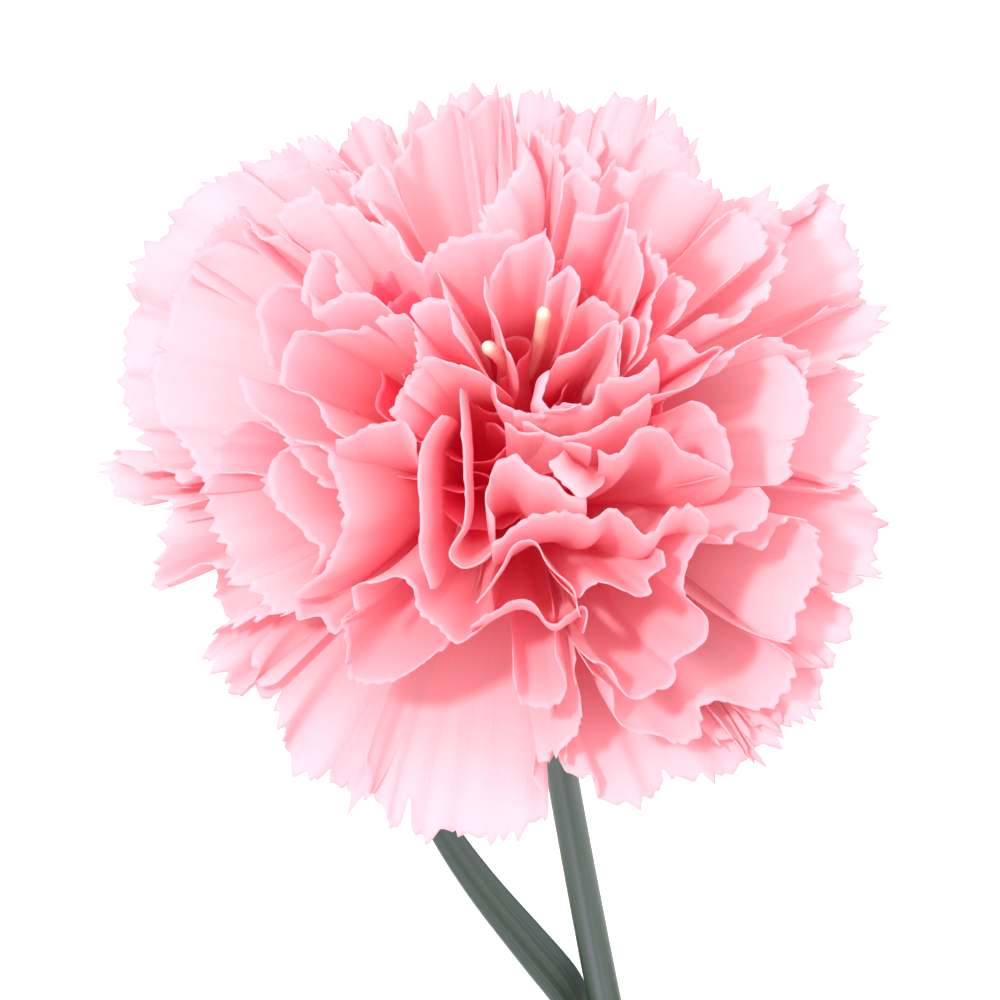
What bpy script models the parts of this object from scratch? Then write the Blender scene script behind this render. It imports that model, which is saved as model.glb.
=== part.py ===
"""A cut carnation lying on its side: bloom, pistil, calyx, jointed stem and four leaves.

The flower is first shaped upright in its own frame, with the mouth of the calyx at the origin and the
axis of the flower along +Z. It is then laid down with the bloom toward -Y and the stem toward +Y, and the
petals underneath are pressed flat against the table.
"""
import math
from types import SimpleNamespace

import bmesh
import bpy
import numpy as np
from mathutils import Vector

MM = 0.001

# The lying pose
AXIS_RISE = math.radians(20)        # slope of the flower's axis above the table
MOUTH_HEIGHT = 31.5 * MM            # mouth of the calyx above the table
PETAL_SOFTNESS = 0.8 * MM           # how gradually a petal bends to lie on the table
LEAF_SOFTNESS = 0.1 * MM

# Petals, whose margins lie on and round a low dome that the eye meets at a slant
BLADE_THICKNESS = 0.62 * MM
BLOOM_TRIANGLES = 9400
CLAW_HALF_WIDTH = 1.7 * MM
BLADE_START = 0.22                  # the share of a petal that is packed in the core
LEAST_SPAN = 9 * MM                 # a petal with a shorter margin is too small for this model
CLAW_REACH = 0.38                   # the share of its reach over which a petal leaves the claw
CLAW_RISE, CLAW_LEAN = 0.95, 0.3    # and the way that it goes there: up, and outward
SPREADING = 0.25                    # how much of its lean a petal takes from each place on its margin
DOME_TOP = 31.0                     # height of the dome above the calyx, and how fast it falls away
DOME_FALL = 0.0165
FACE_TILT = math.radians(28)        # the dome is laid out as seen at this slant, turn and distance
FACE_TURN = math.radians(9)
FACE_DISTANCE = 600.0
RIM_HEIGHT = 3.0                    # lowest margin above the calyx
TABLE_DEPTH = -29.5                 # lowest margin below the mouth of the calyx, at the table
FLATNESS = 6.0                      # how gently a margin is tilted to follow the dome
LOBE_DEPTH = 0.35                   # how closely its lobes follow the dome
# Each petal as it shows on the face of the bloom: the way it leans (degrees, clockwise from the right),
# how far its margin flares from the axis (degrees), and its margin as (right, down, lift above the dome)
# in millimetres
GUARDS = (
    (190, 98, (-34, 1, -3), (-36.5, -3.5, -3), (-38.6, -8, -3), (-38.8, -12, -3), (-38, -17, -2),
     (-36, -22, -1)),
    (215, 98, (-38, -18, -3), (-37.2, -21, -3), (-34, -26, -2), (-30, -30, -1), (-27, -30.5, 0),
     (-24, -28, 1)),
    (230, 95, (-29, -27, 1), (-27.5, -30.5, 0), (-24, -32.5, 0), (-20, -33.8, 1), (-17.5, -32.3, 2),
     (-15.5, -29, 3)),
    (247, 80, (-17.6, -32.6, 2), (-16.4, -34.8, 2), (-14.4, -35.9, 2), (-12.8, -35, 2), (-11.6, -33.4, 3)),
    (258, 75, (-11.2, -34.4, 3), (-10.4, -35.9, 2), (-8.8, -36.9, 2), (-6.4, -37.6, 2), (-4.4, -38.8, 2),
     (-2.8, -38, 3)),
    (270, 75, (-1.6, -37, 3), (-0.8, -38.6, 2), (1, -38.8, 2), (3, -38, 2), (5, -36.6, 2)),
    (279, 75, (4, -36, 3), (5.2, -37, 2), (6.6, -36.6, 2), (7.9, -36.6, 2)),
    (290, 80, (7.6, -36, 2), (8.6, -37.1, 1), (10.4, -38, 1), (13, -37.5, 1), (15.5, -35.8, 1),
     (18, -33, 1)),
    (305, 92, (18.5, -30, 1), (21, -28, 0), (24.3, -28, 0), (26.5, -26, 0), (27.5, -23, 0)),
    (320, 95, (25.5, -25, 0), (28.5, -27, -1), (31.2, -28.6, -1), (32.6, -25.3, -1), (34, -22.5, -2),
     (34, -19, -2), (31, -16, -1)),
    (337, 98, (33, -19, -2), (35.7, -17, -2), (36, -15, -2), (34.5, -13, -2), (32.3, -12, -1),
     (30, -10, 0)),
    (350, 98, (31.5, -12, -3), (33.6, -10.5, -3), (33.3, -8, -3), (35, -6, -3), (34.6, -3, -3),
     (33.5, -1, -3), (33, 1.2, -2), (29, 0.5, -1)),
    (8, 98, (30, -1, -3), (34, 1.5, -3), (36, 2.8, -3), (36.2, 5, -3), (35.4, 8, -3), (35.3, 9.8, -3),
     (30, 10, -2)),
    (25, 98, (29.5, 9.5, -4), (31.5, 11.5, -4), (33.5, 13.8, -4), (32.3, 16.5, -4), (31.5, 18.8, -4),
     (28, 19, -2)),
    (38, 98, (30.5, 18, -4), (30.3, 21, -4), (28.3, 24, -4), (25.5, 24.2, -4), (22, 22.5, -2)),
    (48, 98, (26.5, 23, -4), (26.2, 25.5, -5), (24, 26.3, -5), (20, 24, -3)),
    (55, 98, (23.5, 25, -5), (24.3, 27.8, -5), (22.5, 27, -4), (19, 24.5, -3)),
    (68, 95, (23, 26.5, -3), (21.8, 28.8, -3), (18.5, 29.6, -3), (15, 29.8, -3), (13, 31.6, -3),
     (10, 32.2, -3), (8, 30.3, -3), (5.6, 29.2, -3), (4.8, 26, -2)),
    (98, 95, (2.4, 29, -3), (2.1, 33.8, -3), (-0.5, 35.2, -3), (-3.5, 35.8, -3), (-6, 34.7, -3),
     (-9.5, 35.2, -3), (-12.5, 34.5, -3), (-13.5, 32, -3), (-15, 28, -3)),
    (120, 95, (-13.5, 31, -3), (-16.2, 32, -3), (-16.5, 30.2, -3), (-19.5, 30.2, -3), (-21.6, 28.5, -3),
     (-23, 25, -3), (-24.3, 22, -3), (-26, 20.5, -3), (-26, 17, -2)),
    (142, 95, (-24, 20, -2), (-27.8, 21, -2), (-28.8, 19, -2), (-30.6, 18, -2), (-28, 14.5, -1),
     (-24.5, 13, 0)),
    (163, 90, (-30.6, 1.2, 0), (-29.6, 5, 0), (-28, 8, -1), (-27.4, 10.8, -1), (-25.4, 10.6, -1),
     (-24.8, 12.5, 0), (-22, 12.8, 1)),
    (170, 95, (-32, 2, -1), (-34.4, 4, -2), (-34.8, 7, -2), (-36, 10.2, -2), (-32, 9.3, -2),
     (-28, 8.2, -1)),
    (183, 95, (-31, 0, -1), (-36, -0.8, -2), (-40, -1.8, -2), (-39.6, 1.2, -3), (-36, 1.9, -2),
     (-32.5, 3.5, -1)),
)
COLLAR = (
    (188, 90, (-31, 0, 0), (-33, -3.5, 0), (-35.4, -6.5, 0), (-36, -10, 0), (-35.2, -14, 0),
     (-33.8, -18, 0.5), (-32, -22, 1), (-29, -24, 2)),
    (212, 88, (-32, -20, 1), (-31.6, -22.6, 1), (-28.8, -25.6, 1), (-26, -25, 2), (-23, -24, 3)),
    (228, 85, (-27, -24, 2), (-26, -28.5, 2), (-23.8, -30, 2), (-20, -31, 2), (-16.8, -30.3, 3),
     (-14.5, -27, 4)),
    (235, 70, (-24, -26, 2), (-21.5, -28, 2.5), (-18, -27.4, 3), (-15, -26.4, 3), (-12.6, -24.8, 3),
     (-10, -22.2, 3), (-8, -20, 2), (-6.5, -18, 1)),
    (247, 65, (-16.6, -29, 3), (-15, -30.4, 3), (-13.5, -32, 3), (-12.8, -30.6, 3)),
    (259, 60, (-12, -30.6, 2), (-11.2, -33, 2.5), (-9.4, -35, 3), (-7.8, -36, 3), (-6.2, -37.2, 3),
     (-4.9, -36.2, 3), (-3.4, -37.6, 3), (-1.7, -38.9, 3), (-1, -36.4, 3)),
    (205, 55, (-3.8, -25, 2), (-2.4, -27.2, 2.5), (-0.6, -29.6, 3), (0.9, -32.2, 3.5), (0.5, -35.6, 3.5)),
    (274, 50, (1.2, -33.4, 3.5), (2, -34.7, 3.5), (3, -34, 3.5), (3.9, -32.4, 3.5), (4.5, -30.6, 3.5)),
    (283, 62, (4.1, -32.6, 3.5), (4.8, -33.6, 4), (6.4, -33.5, 4), (7.6, -32.4, 4), (8.2, -30.9, 4)),
    (286, 45, (4.4, -28.4, 3.5), (5.2, -30, 3.5), (6.2, -31, 3.5), (7.3, -30, 3.5), (8.5, -29, 3.5)),
    (298, 78, (8, -33, 2.5), (9.2, -34.6, 2.5), (12, -33.7, 2.5), (14, -34.1, 2.5), (16.4, -32.6, 2),
     (18.6, -31, 2)),
    (302, 68, (8.2, -30.4, 3), (10, -31.2, 3), (12, -30.6, 3), (15, -30.9, 3), (18, -30, 3),
     (20.6, -28.4, 2)),
    (312, 80, (20, -26, 1), (22.5, -26.5, 1), (24.5, -25, 1), (24, -22, 1), (21.5, -20.5, 1)),
    (325, 80, (24, -26, 0), (26.2, -24, 0), (26, -20.5, 0.5), (24.6, -18, 1), (22, -16, 2), (19, -16, 3)),
    (350, 80, (26.5, -12.5, 1), (28.5, -10.5, 1), (29.3, -7.5, 0), (29, -5.5, 0), (27.6, -3.8, 0),
     (27.5, -1, 0), (25, 0.5, 0)),
    (338, 70, (20, -11, 2), (22, -12.6, 2), (24.2, -13.9, 1.5), (27, -13.6, 1), (29.3, -12.5, 0.5),
     (28, -10, 1)),
    (22, 75, (24.5, 7, 0), (26, 4.8, 0), (29.8, 4.9, -1), (30.2, 8, -1), (28.6, 12, -1), (27, 16.6, -1),
     (24.5, 15.5, 0)),
    (50, 80, (25.5, 16.5, -1), (27.8, 19.5, -1.5), (26, 21.8, -2), (22.5, 22.5, -2), (18.2, 23, -1.5),
     (17.9, 25.3, -2), (14.5, 26, -2), (12, 25.3, -1.5), (9, 21, -1), (7.2, 18, 0)),
    (80, 80, (2.2, 28, -2), (4, 28.1, -2), (5.4, 26, -2), (6.1, 22, -1), (6.3, 18, 0)),
)
LEFT = (
    (180, 75, (-31.5, 1.3, 1), (-30, -0.4, 1), (-27, -0.7, 1.5), (-25.3, 0.2, 2), (-24.5, 2, 2)),
    (190, 80, (-29.6, -0.5, 1), (-30, -1.6, 1), (-28.8, -4.5, 1), (-26.4, -6.2, 2), (-24, -4.6, 2)),
    (175, 70, (-22.5, -3.5, 3), (-24.6, -0.7, 2.5), (-24.4, 1.5, 2.5), (-23.8, 2.9, 2.5), (-21, 5.2, 2.5),
     (-19.7, 6.6, 2.5), (-20.3, 9.6, 2)),
    (178, 60, (-22, -4.2, 4), (-19.8, -3.6, 4), (-18.6, -1, 4), (-17.4, 1.5, 4), (-17.2, 4, 3.5),
     (-17.8, 7, 3), (-20, 9.8, 2.5), (-22, 12.2, 2)),
    (195, 75, (-27.6, -10.3, 2), (-26.8, -8, 2), (-24.5, -5.8, 3), (-22, -2.6, 3.5), (-19, 1, 3)),
    (205, 65, (-24.6, -11, 2), (-25.3, -15.5, 2), (-25.6, -17.6, 2), (-23.8, -19.5, 2), (-21.2, -18.8, 3),
     (-20, -16.5, 3.5)),
    (225, 60, (-21.3, -18, 3), (-20.6, -21.4, 3), (-19.6, -23, 3), (-18.4, -22.3, 3.5), (-17.3, -18.5, 4)),
    (200, 50, (-14.6, -15.4, 5), (-17.6, -14.6, 4.5), (-20.8, -14.9, 4), (-23.4, -11.8, 3),
     (-23.4, -10, 3), (-21, -8.6, 4), (-19.2, -6, 5), (-16.8, -4.3, 5)),
    (215, 35, (-14, -15.6, 5), (-11.5, -16, 5), (-9.6, -13.8, 5), (-10, -11, 5), (-11.4, -8.6, 4.5),
     (-12.2, -6.2, 4)),
    (230, 45, (-20, -16.8, 4), (-17.5, -18.1, 4), (-14.6, -18.3, 4.5), (-12.4, -17, 5), (-11, -15.4, 5)),
    (240, 40, (-10.6, -16.6, 5), (-9, -17.9, 5), (-7.4, -17.8, 5), (-6.3, -15.6, 5), (-5, -13, 4.5)),
    (215, 40, (-11.2, -8.6, 4), (-10.2, -11, 4.5), (-8.4, -12.2, 4.5), (-6, -11.8, 4), (-3.6, -11, 3)),
    (125, -10, (-18, -4.1, 5), (-16, -4.4, 5), (-13, -5.7, 5), (-11.4, -6, 4.5), (-9.9, -3.8, 4)),
)
TOP = (
    (262, 35, (-9.4, -21.3, 4), (-8, -23, 4), (-5, -24.3, 4.5), (-2.5, -24.8, 4.5), (0.4, -24.4, 4.5)),
    (275, 30, (-2.6, -20, 3.5), (-1, -22.8, 4.5), (1.2, -23.6, 5), (3, -24.7, 5), (3.5, -22, 5),
     (3.2, -19.8, 4.5), (5.4, -21.4, 5), (6.2, -20, 5), (5.2, -17.5, 4)),
    (235, 20, (-3, -20.2, 4), (-3, -18, 4), (-2.2, -16, 3.5), (-1.7, -14.6, 3), (-0.4, -12.5, 2)),
    (290, 35, (5.9, -26.3, 4.5), (8, -26.4, 4.5), (10.9, -27.4, 4.5), (11, -25, 4.5), (12, -24.8, 4.5),
     (12.3, -22, 4.5), (12.6, -18.5, 4), (11.4, -16.8, 4)),
    (320, 45, (13.2, -25, 3.5), (13.8, -22.4, 4), (14.6, -22, 4), (14, -18.5, 4), (13.2, -15, 4),
     (12.4, -12.2, 3.5)),
    (330, 60, (14.8, -20.2, 3), (16.4, -20.4, 3), (17.8, -18.8, 3), (17, -17.2, 3), (15.3, -15.7, 3.5)),
    (300, 25, (5.6, -17, 2), (7, -17.8, 2.5), (9, -17.7, 2.5), (10.2, -16.2, 3)),
    (310, 30, (4.2, -12.2, 1), (6, -13, 2), (7.6, -14.4, 2.5), (9.9, -15.6, 3), (10.4, -13, 3),
     (10, -10, 2.5)),
    (320, 30, (10.4, -9.8, 2.5), (10.4, -14.5, 3), (12, -16, 3.5), (12.6, -15, 3.5), (12.2, -12.5, 3.5)),
    (20, 10, (-2.6, -9.4, 1), (-1.2, -7.6, 1.5), (0.6, -6.2, 2), (3, -6, 2.5)),
)
RIGHT = (
    (60, -15, (-0.3, -6.6, 1.5), (2.8, -6.4, 2), (5.3, -7.3, 2.5), (7.2, -7.6, 3), (8.4, -9.5, 3),
     (11, -10, 3.5), (14, -12, 3.5)),
    (60, -5, (0.6, -5.6, 2), (4, -4.3, 3), (8, -4.9, 3.5), (11, -6.6, 4), (13.4, -8.4, 4)),
    (85, 5, (-1.2, -5.4, 2), (1.5, -4.7, 2.5), (4.5, -3.7, 3), (7.5, -3, 3.5)),
    (345, 50, (14.8, -14.4, 3), (17.4, -13.6, 3), (18.3, -12.4, 3), (20.7, -12.9, 2.5), (19.4, -11.2, 3),
     (15.5, -8.8, 3.5), (13.4, -8, 3.5)),
    (352, 50, (17.5, -7.6, 2), (19.4, -7, 2), (20.4, -5.6, 2), (21.2, -3, 2), (21.2, -1, 2),
     (19, -0.3, 2.5)),
    (80, -10, (8.2, -2.6, 4), (9.6, -2.4, 4), (11.4, -3.6, 4), (12.7, -5, 4), (15.5, -4.5, 3.5),
     (16.2, -3, 3.5), (18.5, -1.9, 3), (21.4, -0.8, 2.5)),
    (5, 65, (24.4, 0.8, 1.5), (25, 2.8, 1.5), (24, 4.9, 1.5), (21.9, 5.6, 1.5), (21.7, 6.6, 1.5),
     (19.3, 5.8, 2)),
    (95, -25, (-2.2, 4, 2), (-2.9, 1, 2.5), (-2.4, -1, 3), (-0.2, -2, 3.5), (1.8, -0.6, 4), (4, 0, 4.5),
     (5.5, 1.6, 4.5), (7, 1.8, 4.5)),
)
LOWER = (
    (92, -10, (-2.6, 6.3, 4), (0, 5, 4), (2.6, 3.6, 4.5), (5, 3.3, 5), (8, 4.4, 5), (9.6, 3, 5),
     (11.2, 3.7, 5), (13.5, 5.7, 4.5), (15.5, 3.6, 4), (17.5, 2.9, 3.5), (19.3, 4, 3)),
    (55, 45, (14.4, 7.3, 3), (14.9, 8.8, 3), (13.5, 10, 3), (13.2, 11.2, 3), (10.5, 11, 3.5), (8, 10.6, 4),
     (6, 12, 4), (5, 11, 4)),
    (48, 55, (19.4, 5.7, 2), (17, 8.2, 2.5), (16.6, 10.6, 2.5), (18.9, 13.6, 1.5), (18.7, 16, 1.5),
     (17, 17.8, 1.5), (15.6, 18.6, 1.5), (15.6, 20, 1), (14.4, 21.4, 1), (12, 21.7, 1), (10.2, 20.6, 1.5),
     (8.6, 18.3, 2), (6.8, 17.4, 3)),
    (92, 20, (-4.2, 12.2, 4), (-2, 9.6, 5), (0.6, 6.7, 6), (1.6, 6.5, 6), (3.2, 8, 6), (5, 10.6, 5),
     (6.7, 13.6, 4)),
    (93, 5, (-4.3, 15, 3), (-3, 13.5, 4), (-0.5, 12.4, 4.5), (2, 12.9, 4.5), (4, 14.3, 4), (5.4, 13.8, 4),
     (6.6, 13.2, 4), (6.5, 14.8, 3.5)),
    (93, 75, (-0.6, 19.8, 1), (0.4, 21.6, 0), (2, 22.7, 0), (3.6, 22.9, 0), (4.6, 21.4, 0.5),
     (4, 17.5, 1.5)),
    (135, 45, (-15.8, 13.2, 3), (-15.6, 10.8, 4), (-12.5, 9.8, 4.5), (-10, 11.4, 4.5), (-9.2, 13.2, 4),
     (-7.6, 15.4, 4), (-6, 16.5, 4), (-4.2, 15, 4.5)),
    (122, 70, (-17.2, 14, 1), (-16.2, 19.6, 0), (-13, 20.2, 0), (-9.6, 19, 0.5), (-7, 16.6, 1.5)),
    (140, 70, (-22, 12.2, 1.5), (-21.8, 14, 1), (-19.6, 13.9, 1.5), (-18, 15.3, 1.5), (-17, 14.4, 2)),
)
CENTRE = (
    (180, 70, (-7.4, -6.4, 2), (-9, -4, 3), (-9.9, -0.5, 3.5), (-9.9, 2.5, 3.5), (-9.5, 5, 3.5),
     (-9.5, 8, 3.5), (-8.5, 11, 3)),
    (170, 40, (-5.7, -9, 0.5), (-5.3, -6, 1.5), (-5.1, -3, 2), (-5.2, 0, 2), (-5.3, 5, 2.5), (-6.5, 8, 3),
     (-5.4, 9.1, 3), (-3.6, 8.4, 3), (-2.6, 7.2, 2.5)),
    (320, -80, (3.4, -1.8, 5), (4.1, -0.1, 5), (5.2, 0.8, 5), (6.7, 1.9, 5), (7.7, 1.4, 4.5)),
    (330, 60, (3.4, -10.8, 2.5), (2.9, -9, 2.5), (2.7, -7.8, 2.5), (3.4, -6.9, 3), (5, -6.9, 3),
     (6.5, -7.6, 3)),
)
# Petals behind the guard petals: how many, first one, half their spread, reach and height in millimetres
BACK_COUNT, BACK_FIRST, BACK_SPREAD = 8, 12, 33
BACK_REACH, BACK_HEIGHT, BACK_FLARE = 32.0, 0.5, 104
BACK_ROOT = (5.6, -1.5, 0.3)
# Layers of petals, from the outside in: petals, radius and height of their roots in millimetres, and
# how much of a petal runs the way its margin does
LAYERS = (
    (GUARDS, 5.0, -2.0, 0.3),
    (COLLAR, 4.0, -3.0, 0.3),
    (LEFT + TOP + RIGHT, 2.0, -4.5, 0.3),
    (LOWER, 2.5, -4.5, 0.3),
    (CENTRE, 2.0, -4.5, 0.1),
)

# Core of claws, packed in the calyx and opening above it, as (height, radius) in millimetres
CORE = (
    (20.0, 0), (20.0, 5.0), (17.0, 8.0), (12.0, 8.6), (7.0, 7.6),
    (2.0, 6.4), (-4.0, 6.0), (-14.0, 5.9), (-18.0, 5.1), (-21.6, 4.4), (-21.6, 0),
)

# Pistil
STYLE_RADIUS = 0.75 * MM
STYLE_TIP_RADIUS = 0.65 * MM
PISTIL_GAP = 0.35 * MM

# Calyx, as (height, outer radius) in millimetres, from its rim down
CALYX = ((-5.6, 7.25), (-8.5, 7.2), (-14.0, 7.1), (-22.0, 6.0), (-27.0, 4.2), (-28.4, 2.9))
CALYX_WALL = 0.8
CALYX_FLOOR = -22.0
CALYX_TEETH = 5
TOOTH_LENGTH = 4.6 * MM

# The scales at the foot of the calyx, in millimetres but for the number of them
BRACTS = 4
BRACT_FOOT = -28.2
BRACT_LENGTH = 10.5
BRACT_GAP = 0.15
BRACT_HALF_WIDTHS = (3.3, 3.6, 2.6, 0.35)
BRACT_LEAST_RADIUS = 3.4
BRACT_THICKNESS = 0.7

# Stem, measured along its length from the bottom of the calyx
STEM_START = 28.8 * MM
STEM_LENGTH = 172 * MM
STEM_BEND_LENGTH = 99 * MM
STEM_SWAY = 5 * MM
STEM_TOP_RADIUS = 1.6 * MM
STEM_END_RADIUS = 2.25 * MM
JOINTS = (101 * MM, 160 * MM)
JOINT_SWELLING = 0.9 * MM
JOINT_SPREAD = 2.4 * MM
JOINT_STATIONS = (-4.5, -2.8, -1.3, 0, 1.3, 2.8, 4.5)
COLLAR_SWELLING = 0.5 * MM
COLLAR_SPREAD = 4 * MM

# Leaves: name, joint, azimuth round the stem, length, half width, twist, opening angles along the leaf
LEAF_THICKNESS = 0.6 * MM
LEAF_LEAST_WIDTH = 0.25 * MM
LEAF_FOLD = 3.2                     # radius of the fold across a leaf, in half widths
SHEATH_GAP = 0.32 * MM
SHEATH_LENGTH = 5.5 * MM            # the foot of a leaf that lies along the stem before it opens
SHEATH_REACH = math.radians(82)     # and how far round the stem it goes to each side
SHEATH_END = (4 * MM, 13 * MM)      # where it turns into the blade
TWIST_START = 9 * MM
TWIST_LENGTH = 22 * MM
LEAVES = (
    ("leaf_upper_left", 0, 4, 84 * MM, 2.7 * MM, 60, (0, 4, 20, 20, 16, 10, 5, 2)),
    ("leaf_upper_right", 0, 184, 62 * MM, 2.3 * MM, -35, (0, 75, 100, 106, 110, 116, 124, 132, 140)),
    ("leaf_lower_top", 1, 50, 74 * MM, 2.3 * MM, 25, (0, 14, 34, 48, 60, 85)),
    ("leaf_lower_side", 1, 227, 66 * MM, 2.3 * MM, -20, (0, 14, 30, 36, 34, 30)),
)


def smooth(x):
    x = np.clip(x, 0, 1)
    return x * x * (3 - 2 * x)


# ---------------------------------------------------------------- petals

def dome_depth(across, below, lift):
    """How near the dome comes to the eye at a place on its face, in millimetres from the mouth."""
    square = DOME_FALL * math.sin(FACE_TILT) ** 2
    slope = math.cos(FACE_TILT) + DOME_FALL * below * math.sin(2 * FACE_TILT)
    rest = DOME_FALL * (across**2 + (below * math.cos(FACE_TILT)) ** 2)
    rest = rest - below * math.sin(FACE_TILT) - DOME_TOP - lift
    return (math.sqrt(max(slope**2 - 4 * square * rest, 0)) - slope) / (2 * square)


def margin_points(margin):
    """A petal's margin in the flower's upright frame, from where its points show on the face of the bloom."""
    right, down, lift = np.array(margin, float).T
    across = right * math.cos(FACE_TURN) - down * math.sin(FACE_TURN)
    below = right * math.sin(FACE_TURN) + down * math.cos(FACE_TURN)
    near = np.zeros(len(across))
    for _ in range(8):
        x, b = across * (1 - near / FACE_DISTANCE), below * (1 - near / FACE_DISTANCE)
        near = np.array([dome_depth(*place) for place in zip(x, b, lift)])
        near = np.maximum(near, (RIM_HEIGHT + b * math.sin(FACE_TILT)) / math.cos(FACE_TILT))
        over_table = TABLE_DEPTH - b * math.cos(FACE_TILT + AXIS_RISE)
        near = np.maximum(near, over_table / math.sin(FACE_TILT + AXIS_RISE))
    lean = np.stack([x - x.mean(), b - b.mean()], -1)
    slope = np.linalg.solve(lean.T @ lean + FLATNESS * len(x) * np.eye(2), lean.T @ (near - near.mean()))
    near = LOBE_DEPTH * near + (1 - LOBE_DEPTH) * (near.mean() + lean @ slope)
    y = b * math.cos(FACE_TILT) + near * math.sin(FACE_TILT)
    z = near * math.cos(FACE_TILT) - b * math.sin(FACE_TILT)
    return np.stack([-x, y, z], -1) * MM


def round_margin(middle, spread, reach, height):
    """A margin on a circle round the flower's axis; angles in degrees, sizes in millimetres."""
    turn = np.radians(middle + np.linspace(-spread, spread, 7)) + FACE_TURN
    edge = reach * (1 - 0.12 * np.linspace(-1, 1, 7) ** 2)
    return np.stack([-edge * np.cos(turn), edge * np.sin(turn), np.full(7, height)], -1) * MM


def back_petals():
    """The last petals of the bloom, against the calyx."""
    step = 360 / BACK_COUNT
    leans = [BACK_FIRST + step * j for j in range(BACK_COUNT)]
    return [(lean, BACK_FLARE, round_margin(lean, BACK_SPREAD, BACK_REACH, BACK_HEIGHT)) for lean in leans]


def petal_traits(leaning, flare, margin, root_radius, root_height, hold):
    """A petal's margin, the way that it leans and flares, and its root."""
    p = SimpleNamespace(flare=math.radians(flare), margin=margin, hold=hold)
    turn = math.radians(leaning) + FACE_TURN
    p.outward = np.array([-math.cos(turn), math.sin(turn), 0])
    p.root = p.outward * root_radius * MM + np.array([0, 0, root_height * MM])
    p.across = np.array([p.outward[1], -p.outward[0], 0])
    p.across = p.across * math.copysign(1, (p.margin[-1] - p.margin[0]) @ p.across)
    p.span = np.linalg.norm(np.diff(p.margin, axis=0), axis=1).sum()
    return p


def all_petals():
    petals = [petal_traits(*petal, *BACK_ROOT) for petal in back_petals()]
    for layer, *root in LAYERS:
        for leaning, flare, *margin in layer:
            petals.append(petal_traits(leaning, flare, margin_points(margin), *root))
    return [p for p in petals if p.span > LEAST_SPAN]


def through(knots, u):
    """Points of a smooth line through the knots; u runs from 0 to 1 along it."""
    gaps = np.linalg.norm(np.diff(knots, axis=0), axis=1)
    at = np.concatenate([[0], np.cumsum(gaps)]) / gaps.sum()
    u = np.clip(u, 0, 1)
    k = np.clip(np.searchsorted(at, u, side="right") - 1, 0, len(knots) - 2)
    slope = np.gradient(knots, at, axis=0)
    h = (at[k + 1] - at[k])[:, None]
    w = (u - at[k])[:, None] / h
    return (knots[k] * (2 * w**3 - 3 * w**2 + 1) + slope[k] * h * (w**3 - 2 * w**2 + w)
            + knots[k + 1] * (3 * w**2 - 2 * w**3) + slope[k + 1] * h * (w**3 - w**2))


def blade_base(p, t, s):
    """The petal without its ruffles: a sheet from the claw to the margin, and the way that it runs there."""
    edge = through(p.margin, (t + 1) / 2)
    spread = edge * np.array([1, 1, 0])
    spread = spread / np.maximum(np.linalg.norm(spread, axis=1), 1 * MM)[:, None]
    toward = (1 - SPREADING) * p.outward + SPREADING * spread
    toward = toward / np.linalg.norm(toward, axis=1)[:, None]
    up = np.array([0, 0, 1])
    run = toward * math.sin(p.flare) + up * math.cos(p.flare)
    root = p.root + (t * CLAW_HALF_WIDTH)[:, None] * p.across
    reach = np.linalg.norm(edge - root, axis=1)[:, None]
    first = root + CLAW_REACH * reach * (CLAW_RISE * up + CLAW_LEAN * p.outward)
    second = edge - p.hold * reach * run
    s = s[:, None]
    sheet = root * (1 - s)**3 + 3 * first * s * (1 - s)**2 + 3 * second * s**2 * (1 - s) + edge * s**3
    return sheet, run


def laid_down(points):
    """From the flower's upright frame to the table."""
    c = math.cos(AXIS_RISE)
    s = math.sin(AXIS_RISE)
    x = points[..., 0]
    y = points[..., 1] * s - points[..., 2] * c
    z = MOUTH_HEIGHT + points[..., 1] * c + points[..., 2] * s
    return np.stack([x, y, z], -1)


def pressed(points, rest, softness):
    """Points kept above the height at which the piece rests, bending smoothly onto it."""
    over = np.clip((points[..., 2] - rest) / softness, -40, 40)
    low = rest + softness * np.log1p(np.exp(over))
    z = np.where(over >= 40, points[..., 2], low)
    return np.concatenate([points[..., :2], z[..., None]], -1)


def mesh_points(mesh):
    values = np.empty(len(mesh.vertices) * 3)
    mesh.vertices.foreach_get("co", values)
    return values.reshape(-1, 3)


def grid_mesh(name, across, along):
    """A flat sheet split into triangles, so that both faces of the blade made from it split alike."""
    bm = bmesh.new()
    bmesh.ops.create_grid(bm, x_segments=across, y_segments=along, size=1)
    bmesh.ops.triangulate(bm, faces=bm.faces[:], quad_method="FIXED")
    mesh = bpy.data.meshes.new(name)
    bm.to_mesh(mesh)
    bm.free()
    return mesh


def solid_sheet(name, mesh, points, thickness):
    mesh.vertices.foreach_set("co", points.ravel())
    mesh.update()
    obj = bpy.data.objects.new(name, mesh)
    bpy.context.scene.collection.objects.link(obj)
    wall = obj.modifiers.new("thickness", "SOLIDIFY")
    wall.thickness = thickness
    wall.offset = 0
    wall.use_quality_normals = True
    freeze(obj)
    return obj


def freeze(obj):
    """The object with its modifiers applied."""
    graph = bpy.context.evaluated_depsgraph_get()
    mesh = bpy.data.meshes.new_from_object(obj.evaluated_get(graph))
    obj.modifiers.clear()
    obj.data = mesh


def lighten(obj, most):
    """Merges the small flat triangles that a Boolean leaves, down to this many."""
    count = sum(len(face.vertices) - 2 for face in obj.data.polygons)
    if count > most:
        thin = obj.modifiers.new("lighten", "DECIMATE")
        thin.ratio = most / count
        thin.use_collapse_triangulate = True
        freeze(obj)


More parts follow.
